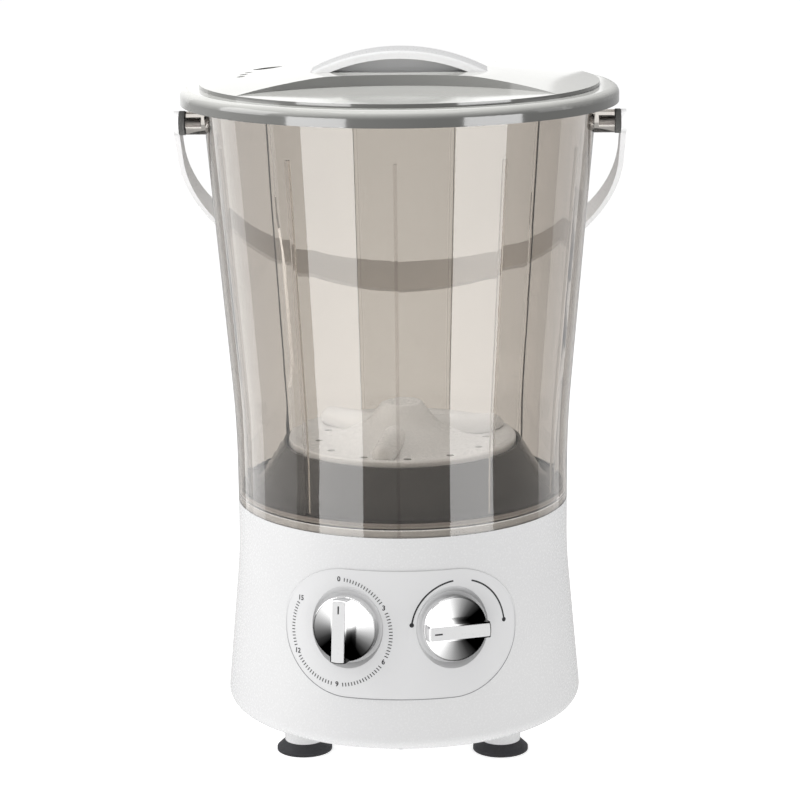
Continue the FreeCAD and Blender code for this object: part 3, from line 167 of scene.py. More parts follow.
# %% Hang the lamps that are mirrored
STRIP_DISTANCE = 2.4
mirrored = [
    soft_lamp("left_strip", azimuth=-41, distance=STRIP_DISTANCE, low=-2.4, high=0.6,
              width=1.36, radiance=6.6, only=["wash_tub", "lid_cover"]),
    soft_lamp("right_strip", azimuth=49, distance=STRIP_DISTANCE, low=-2.4, high=0.6,
              width=1.36, radiance=6.6, only=["wash_tub", "lid_cover"]),
    soft_lamp("left_glow", azimuth=-100, distance=2.6, low=-2.2, high=1.2,
              width=2.4, radiance=1.1, only=["wash_tub"]),
    soft_lamp("back_left_glow", azimuth=-124, distance=3.4, low=-2.4, high=0.9,
              width=1.9, radiance=1.5, only=["wash_tub"]),
    soft_lamp("back_right_glow", azimuth=124, distance=3.4, low=-2.4, high=0.9,
              width=1.9, radiance=1.0, only=["wash_tub"]),
    soft_lamp("lid_wall", azimuth=-161.6, distance=3.16, low=0.1, high=3.4,
              width=2.8, radiance=0.6, only=["lid_cover"]),
    soft_lamp("knob_glow", azimuth=0, distance=3.2, low=-1.6, high=2.0,
              width=6.0, radiance=1.0, only=["timer_knob_body", "selector_knob_body"]),
]
for lamp in mirrored:
    lamp.visible_diffuse = False

# %% [markdown]
# The others are matt light for one part each: the lid's top and the web under its handle, the handle
# itself, the carry handle behind the tub, and the pulsator, whose lamp hangs out of sight under the lid.
# Nothing mirrors them.

# %% Hang the lamps for single parts
matt = [
    soft_lamp("lid_light", azimuth=-90, distance=0.5, low=1.9, high=3.1,
              width=1.2, radiance=70, aim=0.5, only=["lid_cover"]),
    soft_lamp("web_light", azimuth=0, distance=0.13, low=0.515, high=0.535,
              width=0.2, radiance=5.6, aim=0.518, only=["lid_cover"]),
    soft_lamp("handle_light", azimuth=0, distance=1.6, low=1.0, high=1.8,
              width=1.2, radiance=4.0, aim=0.52, only=["lid_handle"]),
    soft_lamp("carry_light", azimuth=0, distance=2.2, low=0.8, high=2.0,
              width=1.6, radiance=8.5, aim=0.4, only=["carry_handle"]),
    soft_lamp("pulsator_light", azimuth=0, distance=0.001, low=0.36, high=0.56,
              width=0.2, radiance=2.6, aim=0.2, only=["pulsator", "pulsator_cap"]),
]
for lamp in matt:
    lamp.visible_glossy = False

# %% [markdown]
# ## A shared effect: moulded skin
# Moulded plastic is never one flat colour. The melt leaves slow drifts of tone over a hand's width, and the
# tool leaves a fine skin that changes the gloss. One node group makes both, and each plastic places it with
# its own values. The group only puts out colours and numbers, so the shader stays in the material.

# %% Build the moulded skin group
NOISE_RANGE = (0.3, 0.7)
DRIFT_SCALE, DRIFT_DETAIL = 9, 2
GRAIN_SCALE, GRAIN_DETAIL = 700, 3
GRAIN_RELIEF = 0.0002


def group_with(name, inputs, outputs):
    """An empty shader node group with named sockets, and its two end nodes."""
    group = bpy.data.node_groups.new(name, "ShaderNodeTree")
    for label, kind in inputs:
        group.interface.new_socket(label, in_out="INPUT", socket_type=kind)
    for label, kind in outputs:
        group.interface.new_socket(label, in_out="OUTPUT", socket_type=kind)
    start, end = group.nodes.new("NodeGroupInput"), group.nodes.new("NodeGroupOutput")
    return group, start, end


def noise(tree, scale, detail):
    texture = tree.nodes.new("ShaderNodeTexNoise")
    texture.inputs["Scale"].default_value = scale
    texture.inputs["Detail"].default_value = detail
    return texture


def spread(tree, source, low, high):
    """Stretch a 0 to 1 value to a named range that other sockets may drive."""
    ranged = tree.nodes.new("ShaderNodeMapRange")
    ranged.inputs["From Min"].default_value, ranged.inputs["From Max"].default_value = NOISE_RANGE
    tree.links.new(source, ranged.inputs["Value"])
    for socket, value in (("To Min", low), ("To Max", high)):
        if isinstance(value, (int, float)):
            ranged.inputs[socket].default_value = value
        else:
            tree.links.new(value, ranged.inputs[socket])
    return ranged.outputs["Result"]


COLOUR, NUMBER = "NodeSocketColor", "NodeSocketFloat"
skin, skin_in, skin_out = group_with(
    "moulded_skin",
    [("Light Tone", COLOUR), ("Dark Tone", COLOUR), ("Least Roughness", NUMBER), ("Most Roughness", NUMBER)],
    [("Color", COLOUR), ("Roughness", NUMBER), ("Height", NUMBER)])
place = skin.nodes.new("ShaderNodeTexCoord")
drift, grain = noise(skin, DRIFT_SCALE, DRIFT_DETAIL), noise(skin, GRAIN_SCALE, GRAIN_DETAIL)
for texture in (drift, grain):
    skin.links.new(place.outputs["Object"], texture.inputs["Vector"])
tone = skin.nodes.new("ShaderNodeMix")
tone.data_type = "RGBA"
skin.links.new(spread(skin, drift.outputs["Fac"], 0.0, 1.0), tone.inputs["Factor"])
skin.links.new(skin_in.outputs["Dark Tone"], tone.inputs["A"])
skin.links.new(skin_in.outputs["Light Tone"], tone.inputs["B"])
skin.links.new(tone.outputs["Result"], skin_out.inputs["Color"])
gloss = spread(skin, grain.outputs["Fac"],
               skin_in.outputs["Least Roughness"], skin_in.outputs["Most Roughness"])
skin.links.new(gloss, skin_out.inputs["Roughness"])
skin.links.new(grain.outputs["Fac"], skin_out.inputs["Height"])
print("group", skin.name, "has", len(skin.nodes), "nodes")

# %% [markdown]
# ## Opaque plastics and rubber
# White mouldings, the pale panel, the grey lid, the dark tub floor and the rubber feet differ only in tone,
# gloss and grain, so one function makes them all from the shared group.

# %% Make the plain plastics


def new_material(name):
    """A material with its Principled shader ready."""
    material = bpy.data.materials.new(name)
    material.use_nodes = True
    return material, material.node_tree, material.node_tree.nodes["Principled BSDF"]


def add_tone(tree, shader, light, dark):
    """Place the moulded skin group in a material and give its tone to the shader."""
    effect = tree.nodes.new("ShaderNodeGroup")
    effect.node_tree = skin
    effect.inputs["Light Tone"].default_value = (*light, 1)
    effect.inputs["Dark Tone"].default_value = (*dark, 1)
    tree.links.new(effect.outputs["Color"], shader.inputs["Base Color"])
    return effect


def add_skin(tree, shader, light, dark, least, most, bump):
    """Give a shader the tone, the gloss and the fine relief of the moulded skin."""
    effect = add_tone(tree, shader, light, dark)
    effect.inputs["Least Roughness"].default_value = least
    effect.inputs["Most Roughness"].default_value = most
    tree.links.new(effect.outputs["Roughness"], shader.inputs["Roughness"])
    relief = tree.nodes.new("ShaderNodeBump")
    relief.inputs["Strength"].default_value = bump
    relief.inputs["Distance"].default_value = GRAIN_RELIEF
    tree.links.new(effect.outputs["Height"], relief.inputs["Height"])
    tree.links.new(relief.outputs["Normal"], shader.inputs["Normal"])


def plastic(name, light, dark, least, most, bump=0.05, ior=1.5):
    material, tree, shader = new_material(name)
    shader.inputs["IOR"].default_value = ior
    add_skin(tree, shader, light, dark, least, most, bump)
    return material


white_shell = plastic("white_shell", light=(0.80, 0.80, 0.80), dark=(0.76, 0.76, 0.765),
                      least=0.22, most=0.30, bump=0.008)
white_handle = plastic("white_handle", light=(0.82, 0.82, 0.82), dark=(0.77, 0.77, 0.775),
                       least=0.26, most=0.34)
pale_panel = plastic("pale_panel", light=(0.80, 0.80, 0.805), dark=(0.77, 0.77, 0.775),
                     least=0.34, most=0.42)
pulsator_pale = plastic("pulsator_pale", light=(0.92, 0.92, 0.92), dark=(0.88, 0.88, 0.88),
                        least=0.22, most=0.32)
foot_rubber = plastic("foot_rubber", light=(0.036, 0.036, 0.04), dark=(0.022, 0.022, 0.026),
                      least=0.55, most=0.75, bump=0.25)
black_moulding = plastic("black_moulding", light=(0.035, 0.035, 0.035), dark=(0.025, 0.025, 0.025),
                         least=0.40, most=0.55, bump=0.15)
washer_rubber = plastic("washer_rubber", light=(0.14, 0.14, 0.135), dark=(0.11, 0.11, 0.105),
                        least=0.45, most=0.6, bump=0.15)
lid_grey = plastic("lid_grey", light=(0.12, 0.12, 0.115), dark=(0.105, 0.105, 0.10),
                   least=0.07, most=0.10, bump=0.01, ior=1.68)
seam_shade = plastic("seam_shade", light=(0.30, 0.30, 0.31), dark=(0.22, 0.22, 0.23), least=0.5, most=0.65)
seal_bead = plastic("seal_bead", light=(0.035, 0.03, 0.027), dark=(0.025, 0.022, 0.02),
                    least=0.35, most=0.5)
# The gasket's pale colour is painted light for the shade under the tub's floor.
pale_gasket_painted_light = plastic("pale_gasket_painted_light", light=(0.80, 0.76, 0.71), dark=(0.74, 0.70, 0.65),
                      least=0.6, most=0.75)
print_ink = plastic("print_ink", light=(0.025, 0.025, 0.028), dark=(0.015, 0.015, 0.018),
                    least=0.45, most=0.60)
print("plastics ready")

# %% [markdown]
# ## The smoky tub
# The tub is clear plastic with a warm grey dye. Light from behind crosses both its walls, and each crossing
# dyes it again, so the base colour is paler than the finished look. The ribs are thicker wall, but the dark
# lines along the upright ribs at the front only are painted shade: a second group finds them by their angle
# round the axis.

# %% Build the group of painted rib shade
RIB_COUNT = 11
FRONT_ANGLE_SHARE = 0.25
RIB_TOP = 0.460
RIB_CORE, RIB_EDGE = 0.010, 0.022
ribs, ribs_in, ribs_out = group_with("rib_lines", [], [("Mask", NUMBER)])


def number_node(tree, operation, *values):
    """A Math node whose inputs are numbers or other nodes' outputs."""
    math_node = tree.nodes.new("ShaderNodeMath")
    math_node.operation = operation
    for socket, value in zip(math_node.inputs, values):
        if isinstance(value, (int, float)):
            socket.default_value = value
        else:
            tree.links.new(value, socket)
    return math_node.outputs["Value"]


def axes_of(tree):
    """A point's place on its part, split into X, Y and Z."""
    place = tree.nodes.new("ShaderNodeTexCoord")
    axes = tree.nodes.new("ShaderNodeSeparateXYZ")
    tree.links.new(place.outputs["Object"], axes.inputs["Vector"])
    return axes.outputs


rib_place = ribs.nodes.new("ShaderNodeTexCoord")
around = ribs.nodes.new("ShaderNodeTexGradient")
around.gradient_type = "RADIAL"
ribs.links.new(rib_place.outputs["Object"], around.inputs["Vector"])
rib_axes = axes_of(ribs)
from_front = number_node(ribs, "SUBTRACT", around.outputs["Fac"], FRONT_ANGLE_SHARE)
rib_steps = number_node(ribs, "MULTIPLY_ADD", from_front, RIB_COUNT, 0.5)
share_of_step = number_node(ribs, "FRACT", rib_steps)
off_rib = number_node(ribs, "ABSOLUTE", number_node(ribs, "SUBTRACT", share_of_step, 0.5))
line = ribs.nodes.new("ShaderNodeMapRange")
line.interpolation_type = "SMOOTHSTEP"
for socket, value in (("From Min", RIB_CORE), ("From Max", RIB_EDGE), ("To Min", 1.0), ("To Max", 0.0)):
    line.inputs[socket].default_value = value
ribs.links.new(off_rib, line.inputs["Value"])
below_top = number_node(ribs, "LESS_THAN", rib_axes["Z"], RIB_TOP)
at_front = number_node(ribs, "LESS_THAN", rib_axes["Y"], 0.0)
in_reach = number_node(ribs, "MULTIPLY", below_top, at_front)
ribs.links.new(number_node(ribs, "MULTIPLY", line.outputs["Result"], in_reach), ribs_out.inputs["Mask"])
print("group", ribs.name, "has", len(ribs.nodes), "nodes")

# %% [markdown]
# Where the wall is seen at a slant, light crosses more dye, so the base colour deepens towards the tub's
# sides. Rays from lamps would stop at glass, and the pulsator inside would be too dark. So for those rays
# alone the plastic is a plain tinted filter. The tub is polished, so it takes only the tone of the moulded
# skin.

# %% Make the smoky plastic
DYE, DYE_GRAIN = (0.685, 0.652, 0.610), (0.675, 0.642, 0.600)
DYE_AT_SLANT = (0.36, 0.325, 0.295)
# The darker tone along the front ribs is painted shade.
SHADE_AT_RIB = (0.58, 0.54, 0.50)
FILTER = (0.94, 0.93, 0.92)


def tone_mix(tree, factor, first, second):
    """A colour Mix node from one output to a fixed colour."""
    mix = tree.nodes.new("ShaderNodeMix")
    mix.data_type = "RGBA"
    tree.links.new(factor, mix.inputs["Factor"])
    tree.links.new(first, mix.inputs["A"])
    mix.inputs["B"].default_value = (*second, 1)
    return mix.outputs["Result"]


smoky_tub, tub_tree, tub_shader = new_material("smoky_tub")
tub_shader.inputs["Transmission Weight"].default_value = 1
tub_shader.inputs["IOR"].default_value = 1.46
tub_shader.inputs["Roughness"].default_value = 0
add_tone(tub_tree, tub_shader, DYE, DYE_GRAIN)
slant = tub_tree.nodes.new("ShaderNodeLayerWeight")
slant.inputs["Blend"].default_value = 0.5
rib_shade_mask = tub_tree.nodes.new("ShaderNodeGroup")
rib_shade_mask.node_tree = ribs
plain_dye = tub_shader.inputs["Base Color"].links[0].from_socket
slanted_dye = tone_mix(tub_tree, slant.outputs["Facing"], plain_dye, DYE_AT_SLANT)
rib_shaded_dye = tone_mix(tub_tree, rib_shade_mask.outputs["Mask"], slanted_dye, SHADE_AT_RIB)
tub_tree.links.new(rib_shaded_dye, tub_shader.inputs["Base Color"])

light_path = tub_tree.nodes.new("ShaderNodeLightPath")
tinted = tub_tree.nodes.new("ShaderNodeBsdfTransparent")
tinted.inputs["Color"].default_value = (*FILTER, 1)
lamp_choice = tub_tree.nodes.new("ShaderNodeMixShader")
tub_tree.links.new(light_path.outputs["Is Shadow Ray"], lamp_choice.inputs["Fac"])
tub_tree.links.new(tub_shader.outputs["BSDF"], lamp_choice.inputs[1])
tub_tree.links.new(tinted.outputs["BSDF"], lamp_choice.inputs[2])
tub_tree.links.new(lamp_choice.outputs["Shader"], tub_tree.nodes["Material Output"].inputs["Surface"])
print("smoky plastic ready")

# %% [markdown]
# ## The web under the lid's handle
# The lid is grey, but the upright web in its finger recess is painted pale: painted light in the shade under
# the handle. Three comparisons of a point's place find the web: it is close to the middle plane, within the
# recess's length and above its floor.

# %% Paint light on the lid's web
WEB_HALF, WEB_REACH, WEB_ROOT = 0.004, 0.050, 0.4985
# The web's pale tone is painted light in the shade under the handle.
WEB_PAINTED_LIGHT = (0.54, 0.54, 0.54)
lid_tree = lid_grey.node_tree
lid_shader = lid_tree.nodes["Principled BSDF"]
lid_axes = axes_of(lid_tree)
on_web = number_node(lid_tree, "GREATER_THAN", lid_axes["Z"], WEB_ROOT)
for axis, reach in (("X", WEB_REACH), ("Y", WEB_HALF)):
    off_middle = number_node(lid_tree, "ABSOLUTE", lid_axes[axis])
    on_web = number_node(lid_tree, "MULTIPLY", on_web, number_node(lid_tree, "LESS_THAN", off_middle, reach))
grey_tone = lid_shader.inputs["Base Color"].links[0].from_socket
lid_tree.links.new(tone_mix(lid_tree, on_web, grey_tone, WEB_PAINTED_LIGHT), lid_shader.inputs["Base Color"])
print("lid web is pale")

# %% [markdown]
# ## The tub's floor
# The floor pan is the same dye, much deeper. Its outer edge gets a paler tone, painted light in a band round
# the foot of the tub. The height of a point decides which tone it gets.

# %% Make the floor plastic
FLOOR_EDGE_TOP = 0.1926
# The paler tone at the floor's edge is painted light.
FLOOR_EDGE_PAINTED_LIGHT = (0.40, 0.365, 0.345)
floor_smoke = plastic("floor_smoke", light=(0.095, 0.09, 0.087), dark=(0.08, 0.076, 0.073),
                      least=0.12, most=0.2)
floor_tree = floor_smoke.node_tree
floor_shader = floor_tree.nodes["Principled BSDF"]
at_edge = number_node(floor_tree, "LESS_THAN", axes_of(floor_tree)["Z"], FLOOR_EDGE_TOP)
deep_tone = floor_shader.inputs["Base Color"].links[0].from_socket
floor_tree.links.new(tone_mix(floor_tree, at_edge, deep_tone, FLOOR_EDGE_PAINTED_LIGHT), floor_shader.inputs["Base Color"])
print("floor plastic ready")

# %% [markdown]
# ## The lip under the tub
# The tub stands on a lip of the base. Light runs down inside the clear wall and comes out at its foot, so
# the lip shows through it as a pale band. The renderer doesn't follow light inside the wall, so the lip
# glows a little.

# %% Light the lip
LIP_LEVEL, LIP_GLOW = 0.1866, 0.30
shell_tree = white_shell.node_tree
shell_shader = shell_tree.nodes["Principled BSDF"]
on_lip = number_node(shell_tree, "GREATER_THAN", axes_of(shell_tree)["Z"], LIP_LEVEL)
shell_tree.links.new(number_node(shell_tree, "MULTIPLY", on_lip, LIP_GLOW),
                     shell_shader.inputs["Emission Strength"])
print("lip lit above", LIP_LEVEL, "m")

# %% [markdown]
# ## Metals
# The hidden works have zinc, paint, copper and bronze. Each has a fine cloudy grain, made by a third group
# that drifts the tone and the gloss over a few millimetres.

# %% Make the metals
PATCH_SCALE, PATCH_DETAIL = 160, 4
PATCH_GLOSS = 0.12
cloud, cloud_in, cloud_out = group_with(
    "metal_cloud", [("Light Tone", COLOUR), ("Dark Tone", COLOUR), ("Roughness", NUMBER)],
    [("Color", COLOUR), ("Roughness", NUMBER)])
cloud_place = cloud.nodes.new("ShaderNodeTexCoord")
patches = noise(cloud, PATCH_SCALE, PATCH_DETAIL)
cloud.links.new(cloud_place.outputs["Object"], patches.inputs["Vector"])
patch_tone = cloud.nodes.new("ShaderNodeMix")
patch_tone.data_type = "RGBA"
cloud.links.new(spread(cloud, patches.outputs["Fac"], 0.0, 1.0), patch_tone.inputs["Factor"])
cloud.links.new(cloud_in.outputs["Dark Tone"], patch_tone.inputs["A"])
cloud.links.new(cloud_in.outputs["Light Tone"], patch_tone.inputs["B"])
cloud.links.new(patch_tone.outputs["Result"], cloud_out.inputs["Color"])
shine = number_node(cloud, "MULTIPLY_ADD", patches.outputs["Fac"], PATCH_GLOSS, cloud_in.outputs["Roughness"])
cloud.links.new(shine, cloud_out.inputs["Roughness"])


def metal(name, light, dark, roughness, metallic=1.0):
    material, tree, shader = new_material(name)
    shader.inputs["Metallic"].default_value = metallic
    effect = tree.nodes.new("ShaderNodeGroup")
    effect.node_tree = cloud
    effect.inputs["Light Tone"].default_value = (*light, 1)
    effect.inputs["Dark Tone"].default_value = (*dark, 1)
    effect.inputs["Roughness"].default_value = roughness
    tree.links.new(effect.outputs["Color"], shader.inputs["Base Color"])
    tree.links.new(effect.outputs["Roughness"], shader.inputs["Roughness"])
    return material


zinc = metal("zinc_plate", light=(0.62, 0.62, 0.64), dark=(0.50, 0.50, 0.53), roughness=0.28)
laminations = metal("motor_laminations", light=(0.36, 0.36, 0.37), dark=(0.26, 0.26, 0.27), roughness=0.42)
copper_wire = metal("enamelled_copper", light=(0.66, 0.34, 0.16), dark=(0.52, 0.24, 0.10), roughness=0.25)
bronze_bush = metal("bronze_bush", light=(0.62, 0.46, 0.26), dark=(0.52, 0.37, 0.19), roughness=0.36)
cast_aluminium = metal("cast_aluminium", light=(0.70, 0.70, 0.72), dark=(0.58, 0.58, 0.60), roughness=0.40)
black_paint = metal("black_paint", light=(0.05, 0.05, 0.05), dark=(0.035, 0.035, 0.035),
                    roughness=0.35, metallic=0.0)
print("metals ready")

# %% [markdown]
# ## The knobs
# Each knob is chrome plating with a painted reflection: round its spindle the base colour sweeps from white
# beside the pointer to black at the tail, and the sweep turns with the knob. The pattern needs the knob's own
# directions, and a Mapping node gives them: it moves the origin to the spindle and turns the axes so that Y
# runs along the pointer and Z along the spindle. A radial gradient then runs round Z, from 0 at the left
# through the tail, the right and the pointer. The fall on each side of the pointer is given by two angles:
# where it is still white and where it is black.

# %% Make the knob plating
POINTER_TURN = {"timer": 0, "selector": 90}
LEFT_FALL = (36, 132)
RIGHT_FALL = (66, 145)
FALL_STEPS = 6
POINTER_SHARE = 0.75
joint_named = {joint["name"]: joint for joint in frame["joints"]}


def knob_rotation(label):
    """The turn from knob axes (Y along the pointer, Z out) to the machine's axes."""
    outward = -Vector(joint_named[label + "_turn"]["axis"]).normalized()
    right = Vector((0, 0, 1)).cross(outward).normalized()
    up = outward.cross(right)
    axes = Matrix((right, up, outward)).transposed()
    return axes @ Matrix.Rotation(math.radians(POINTER_TURN[label]), 3, "Z")


def linear_grey(shade):
    """A screen grey from 0 to 255 as linear light."""
    share = shade / 255
    return share / 12.92 if share <= 0.04045 else ((share + 0.055) / 1.055) ** 2.4


def painted_reflection_stops():
    """Ramp stops for the painted reflection: an even fall on screen from white to black, down the left and
    the right of the pointer.

    The ramp begins and ends at the left, a quarter turn from the pointer, so both ends have the tone of the
    left fall there.
    """
    halfway = (90 - LEFT_FALL[0]) / (LEFT_FALL[1] - LEFT_FALL[0])
    stops = [(end, linear_grey(255 * (1 - halfway))) for end in (0.0, 1.0)]
    for way, (white_at, black_at) in ((1, LEFT_FALL), (-1, RIGHT_FALL)):
        for step in range(FALL_STEPS + 1):
            share = step / FALL_STEPS
            angle = white_at + share * (black_at - white_at)
            stops.append(((POINTER_SHARE + way * angle / 360) % 1, linear_grey(255 * (1 - share))))
    return sorted(stops)


def plating_with_painted_reflection(label):
    material, tree, shader = new_material(label + "_plating")
    shader.inputs["Metallic"].default_value = 1
    shader.inputs["Roughness"].default_value = 0.12
    place = tree.nodes.new("ShaderNodeTexCoord")
    own_axes = tree.nodes.new("ShaderNodeMapping")
    own_axes.vector_type = "TEXTURE"
    own_axes.inputs["Location"].default_value = joint_named[label + "_turn"]["pos_m"]
    own_axes.inputs["Rotation"].default_value = knob_rotation(label).to_euler()
    sweep = tree.nodes.new("ShaderNodeTexGradient")
    sweep.gradient_type = "RADIAL"
    tones = tree.nodes.new("ShaderNodeValToRGB")
    tree.links.new(place.outputs["Object"], own_axes.inputs["Vector"])
    tree.links.new(own_axes.outputs["Vector"], sweep.inputs["Vector"])
    tree.links.new(sweep.outputs["Fac"], tones.inputs["Fac"])
    elements = tones.color_ramp.elements
    # The ramp's greys are a painted reflection that turns with the knob.
    stops = painted_reflection_stops()
    for position, _ in stops[1:-1]:
        elements.new(position)
    for element, (position, shade) in zip(elements, stops):
        element.position = position
        element.color = (shade, shade, shade, 1)
    tree.links.new(tones.outputs["Color"], shader.inputs["Base Color"])
    return material


timer_plating, selector_plating = plating_with_painted_reflection("timer"), plating_with_painted_reflection("selector")
print("knob plating ready")

# %% [markdown]
# ## Every part gets its finish
# The parts are grouped by finish. A part that isn't named in any group is a screw, nut or shaft, and takes
# zinc.

# %% Give the parts their finishes
FINISHES = {
    smoky_tub: ["wash_tub"],
    floor_smoke: ["tub_floor"],
    lid_grey: ["lid_cover"],
    white_shell: ["base_housing", "bottom_cover"],
    white_handle: ["carry_handle", "lid_handle", "timer_knob_insert", "selector_knob_insert"],
    pale_panel: ["control_panel"],
    pulsator_pale: ["pulsator", "pulsator_cap"],
    timer_plating: ["timer_knob_body"],
    selector_plating: ["selector_knob_body"],
    foot_rubber: [n for n in nodes if n.startswith("foot_pad")]
    + ["tub_gasket", "drain_gasket", "shaft_seal", "motor_grommets", "drive_belt"],
    washer_rubber: ["handle_washer_left", "handle_washer_right"],
    black_moulding: ["timer_body", "selector_body", "capacitor", "cord_gland", "drain_spout", "drain_nut",
                     "bearing_housing", "bearing_nut"],
    black_paint: ["motor_deck", "motor_upper_shield", "motor_lower_shield", "capacitor_clip"],
    laminations: ["motor_stator", "motor_rotor"],
    copper_wire: ["motor_windings"],
    bronze_bush: ["upper_bush", "lower_bush"],
    cast_aluminium: ["driven_pulley", "motor_pulley"],
}
finish_of = {name: material for material, names in FINISHES.items() for name in names}
for name, part in nodes.items():
    part.data.materials.clear()
    part.data.materials.append(finish_of.get(name, zinc))
print(len(finish_of), "parts have a named finish,", len(nodes) - len(finish_of), "take zinc")

# %% [markdown]
# ## Printed marks on the panel
# The dial's ticks and numbers and the selector's arcs are ink on a curved panel. They are drawn flat, in
# metres across and up from a middle point, with a little thickness, and then laid on the panel: across
# becomes an angle round the machine, up becomes a height, and a ray towards the axis finds the panel's
# face. The ink starts just inside the skin, so it never floats.

# %% Lay flat drawings on the panel
PANEL_REACH = 0.132
RAY_START = 0.2
INK_DEPTH, INK_PROUD = 0.00012, 0.00012
panel = nodes["control_panel"]


def panel_face(angle, level):
    """How far the panel's face is from the machine's axis, in a direction and at a height."""
    outward = Vector((math.sin(angle), -math.cos(angle), 0))
    hit, place, _, _ = panel.ray_cast(outward * RAY_START + Vector((0, 0, level)), -outward)
    return place.xy.length if hit else PANEL_REACH


def lay_on_panel(drawing, azimuth, height):
    """Move a flat drawing to the panel, round a centre at an azimuth in degrees and a height."""
    for vertex in drawing.verts:
        across, up, proud = vertex.co
        angle, level = math.radians(azimuth) + across / PANEL_REACH, height + up
        reach = panel_face(angle, level) + proud
        vertex.co = (reach * math.sin(angle), -reach * math.cos(angle), level)


def finish_piece(name, drawing, material, body):
    """Turn a bmesh into a piece that rides on a body."""
    bmesh.ops.recalc_face_normals(drawing, faces=drawing.faces)
    mesh = bpy.data.meshes.new(name)
    drawing.to_mesh(mesh)
    drawing.free()
    mesh.materials.append(material)
    piece = bpy.data.objects.new(name, mesh)
    scene.collection.objects.link(piece)
    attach(piece, body)
    print(name, "has", len(mesh.polygons), "faces")


def add_bar(drawing, width, length, place):
    """A small flat bar of ink, upright before it is placed."""
    thick = INK_DEPTH + INK_PROUD
    lift = Matrix.Translation((0, 0, (INK_PROUD - INK_DEPTH) / 2))
    size = Matrix.Diagonal((width, length, thick, 1))
    bmesh.ops.create_cube(drawing, size=1, matrix=place @ lift @ size)


def on_dial(radius, clock_angle):
    """Where something lies on a ring, clockwise from the top, turned to point outwards."""
    return Matrix.Rotation(-math.radians(clock_angle), 4, "Z") @ Matrix.Translation((0, radius, 0))


panel_low, panel_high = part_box("control_panel")
panel_middle = (panel_low[2] + panel_high[2]) / 2
print("panel is", round(panel_face(0, panel_middle) * 1000, 1), "mm from the axis in the middle")

# %% [markdown]
# The numbers are text. Text is a curve, so it is made a mesh first and then joined to the drawing.

# %% Draw the dial
DIAL_AZIMUTH, DIAL_DROP = -20.1, 0.0037
DIAL_RADIUS = 0.0398
DIAL_NUMBERS = {"0": -1, "3": 60, "6": 121, "9": 181, "12": 241, "15": 302}
TICKS_BETWEEN = 15
NUMBER_SPACE = 6.5
TICK_WIDTH, TICK_LENGTH = 0.00062, 0.0027
DIGIT_HEIGHT, DIGIT_WEIGHT = 0.0052, 0.0001


def add_number(drawing, text, height, place):
    """Plain digits in ink, centred on their place and upright."""
    curve = bpy.data.curves.new("digits", "FONT")
    curve.body = text
    curve.align_x, curve.align_y = "CENTER", "CENTER"
    curve.size = height
    curve.extrude = (INK_DEPTH + INK_PROUD) / 2
    curve.offset = DIGIT_WEIGHT
    text_object = bpy.data.objects.new("digits", curve)
    scene.collection.objects.link(text_object)
    bpy.context.view_layer.update()
    digits = bpy.data.meshes.new_from_object(text_object.evaluated_get(bpy.context.evaluated_depsgraph_get()))
    bpy.data.objects.remove(text_object)
    digits.transform(Matrix.Translation(place.translation))
    drawing.from_mesh(digits)
    bpy.data.meshes.remove(digits)


dial = bmesh.new()
angles = list(DIAL_NUMBERS.values())
for text, angle in DIAL_NUMBERS.items():
    add_number(dial, text, DIGIT_HEIGHT, on_dial(DIAL_RADIUS, angle))
for first, second in zip(angles, angles[1:]):
    step = (second - first - 2 * NUMBER_SPACE) / (TICKS_BETWEEN - 1)
    for i in range(TICKS_BETWEEN):
        add_bar(dial, TICK_WIDTH, TICK_LENGTH, on_dial(DIAL_RADIUS, first + NUMBER_SPACE + i * step))
lay_on_panel(dial, DIAL_AZIMUTH, joint_named["timer_turn"]["pos_m"][2] - DIAL_DROP)
finish_piece("dial_marks", dial, print_ink, "machine")

# %% [markdown]
# The selector's arcs are a small rectangle spun about the spindle, and each outer end has a dot.

# %% Draw the selector's arcs
SELECTOR_AZIMUTH, SELECTOR_DROP = 19.9, 0.0017
ARC_RADIUS = 0.0372
ARC_WIDTH = 0.0012
DOT_RADIUS = 0.0017
ARCS = ((-82, -7), (16, 87))


def add_arc(drawing, radius, width, start, end, steps=28):
    """A thin curved bar from one clock angle to another."""
    low, high = -INK_DEPTH, INK_PROUD
    corners = [(-width / 2, low), (width / 2, low), (width / 2, high), (-width / 2, high)]
    turn = Matrix.Rotation(-math.radians(start), 4, "Z")
    ring = [drawing.verts.new(turn @ Vector((0, radius + out, up))) for out, up in corners]
    face = drawing.faces.new(ring)
    bmesh.ops.spin(drawing, geom=[face, *face.verts, *face.edges], cent=(0, 0, 0), axis=(0, 0, 1),
                   angle=-math.radians(end - start), steps=steps)


def add_dot(drawing, radius, place):
    made = bmesh.ops.create_circle(drawing, cap_ends=True, segments=24, radius=radius,
                                   matrix=place @ Matrix.Translation((0, 0, -INK_DEPTH)))
    caps = list({f for v in made["verts"] for f in v.link_faces})
    grown = bmesh.ops.extrude_face_region(drawing, geom=caps)
    raised = [g for g in grown["geom"] if isinstance(g, bmesh.types.BMVert)]
    bmesh.ops.translate(drawing, verts=raised, vec=(0, 0, INK_DEPTH + INK_PROUD))


arcs = bmesh.new()
for start, end in ARCS:
    add_arc(arcs, ARC_RADIUS, ARC_WIDTH, start, end)
add_dot(arcs, DOT_RADIUS, on_dial(ARC_RADIUS, ARCS[0][0]))
add_dot(arcs, DOT_RADIUS, on_dial(ARC_RADIUS, ARCS[1][1]))
lay_on_panel(arcs, SELECTOR_AZIMUTH, joint_named["selector_turn"]["pos_m"][2] - SELECTOR_DROP)
finish_piece("selector_marks", arcs, print_ink, "machine")

# %% [markdown]
# ## The marks on the knobs
# Each white insert has a short groove near the pointer's end, filled with ink. It is a bar in the knob's
# own axes: Y runs along the pointer and Z out of the knob. It rides with the knob, so it shows how far the
# knob is turned.

# %% Fill the knobs' grooves
GROOVE_WIDTH, GROOVE_LENGTH = 0.0012, 0.006
GROOVE_MIDDLE, GROOVE_FLOOR = 0.01675, 0.0177

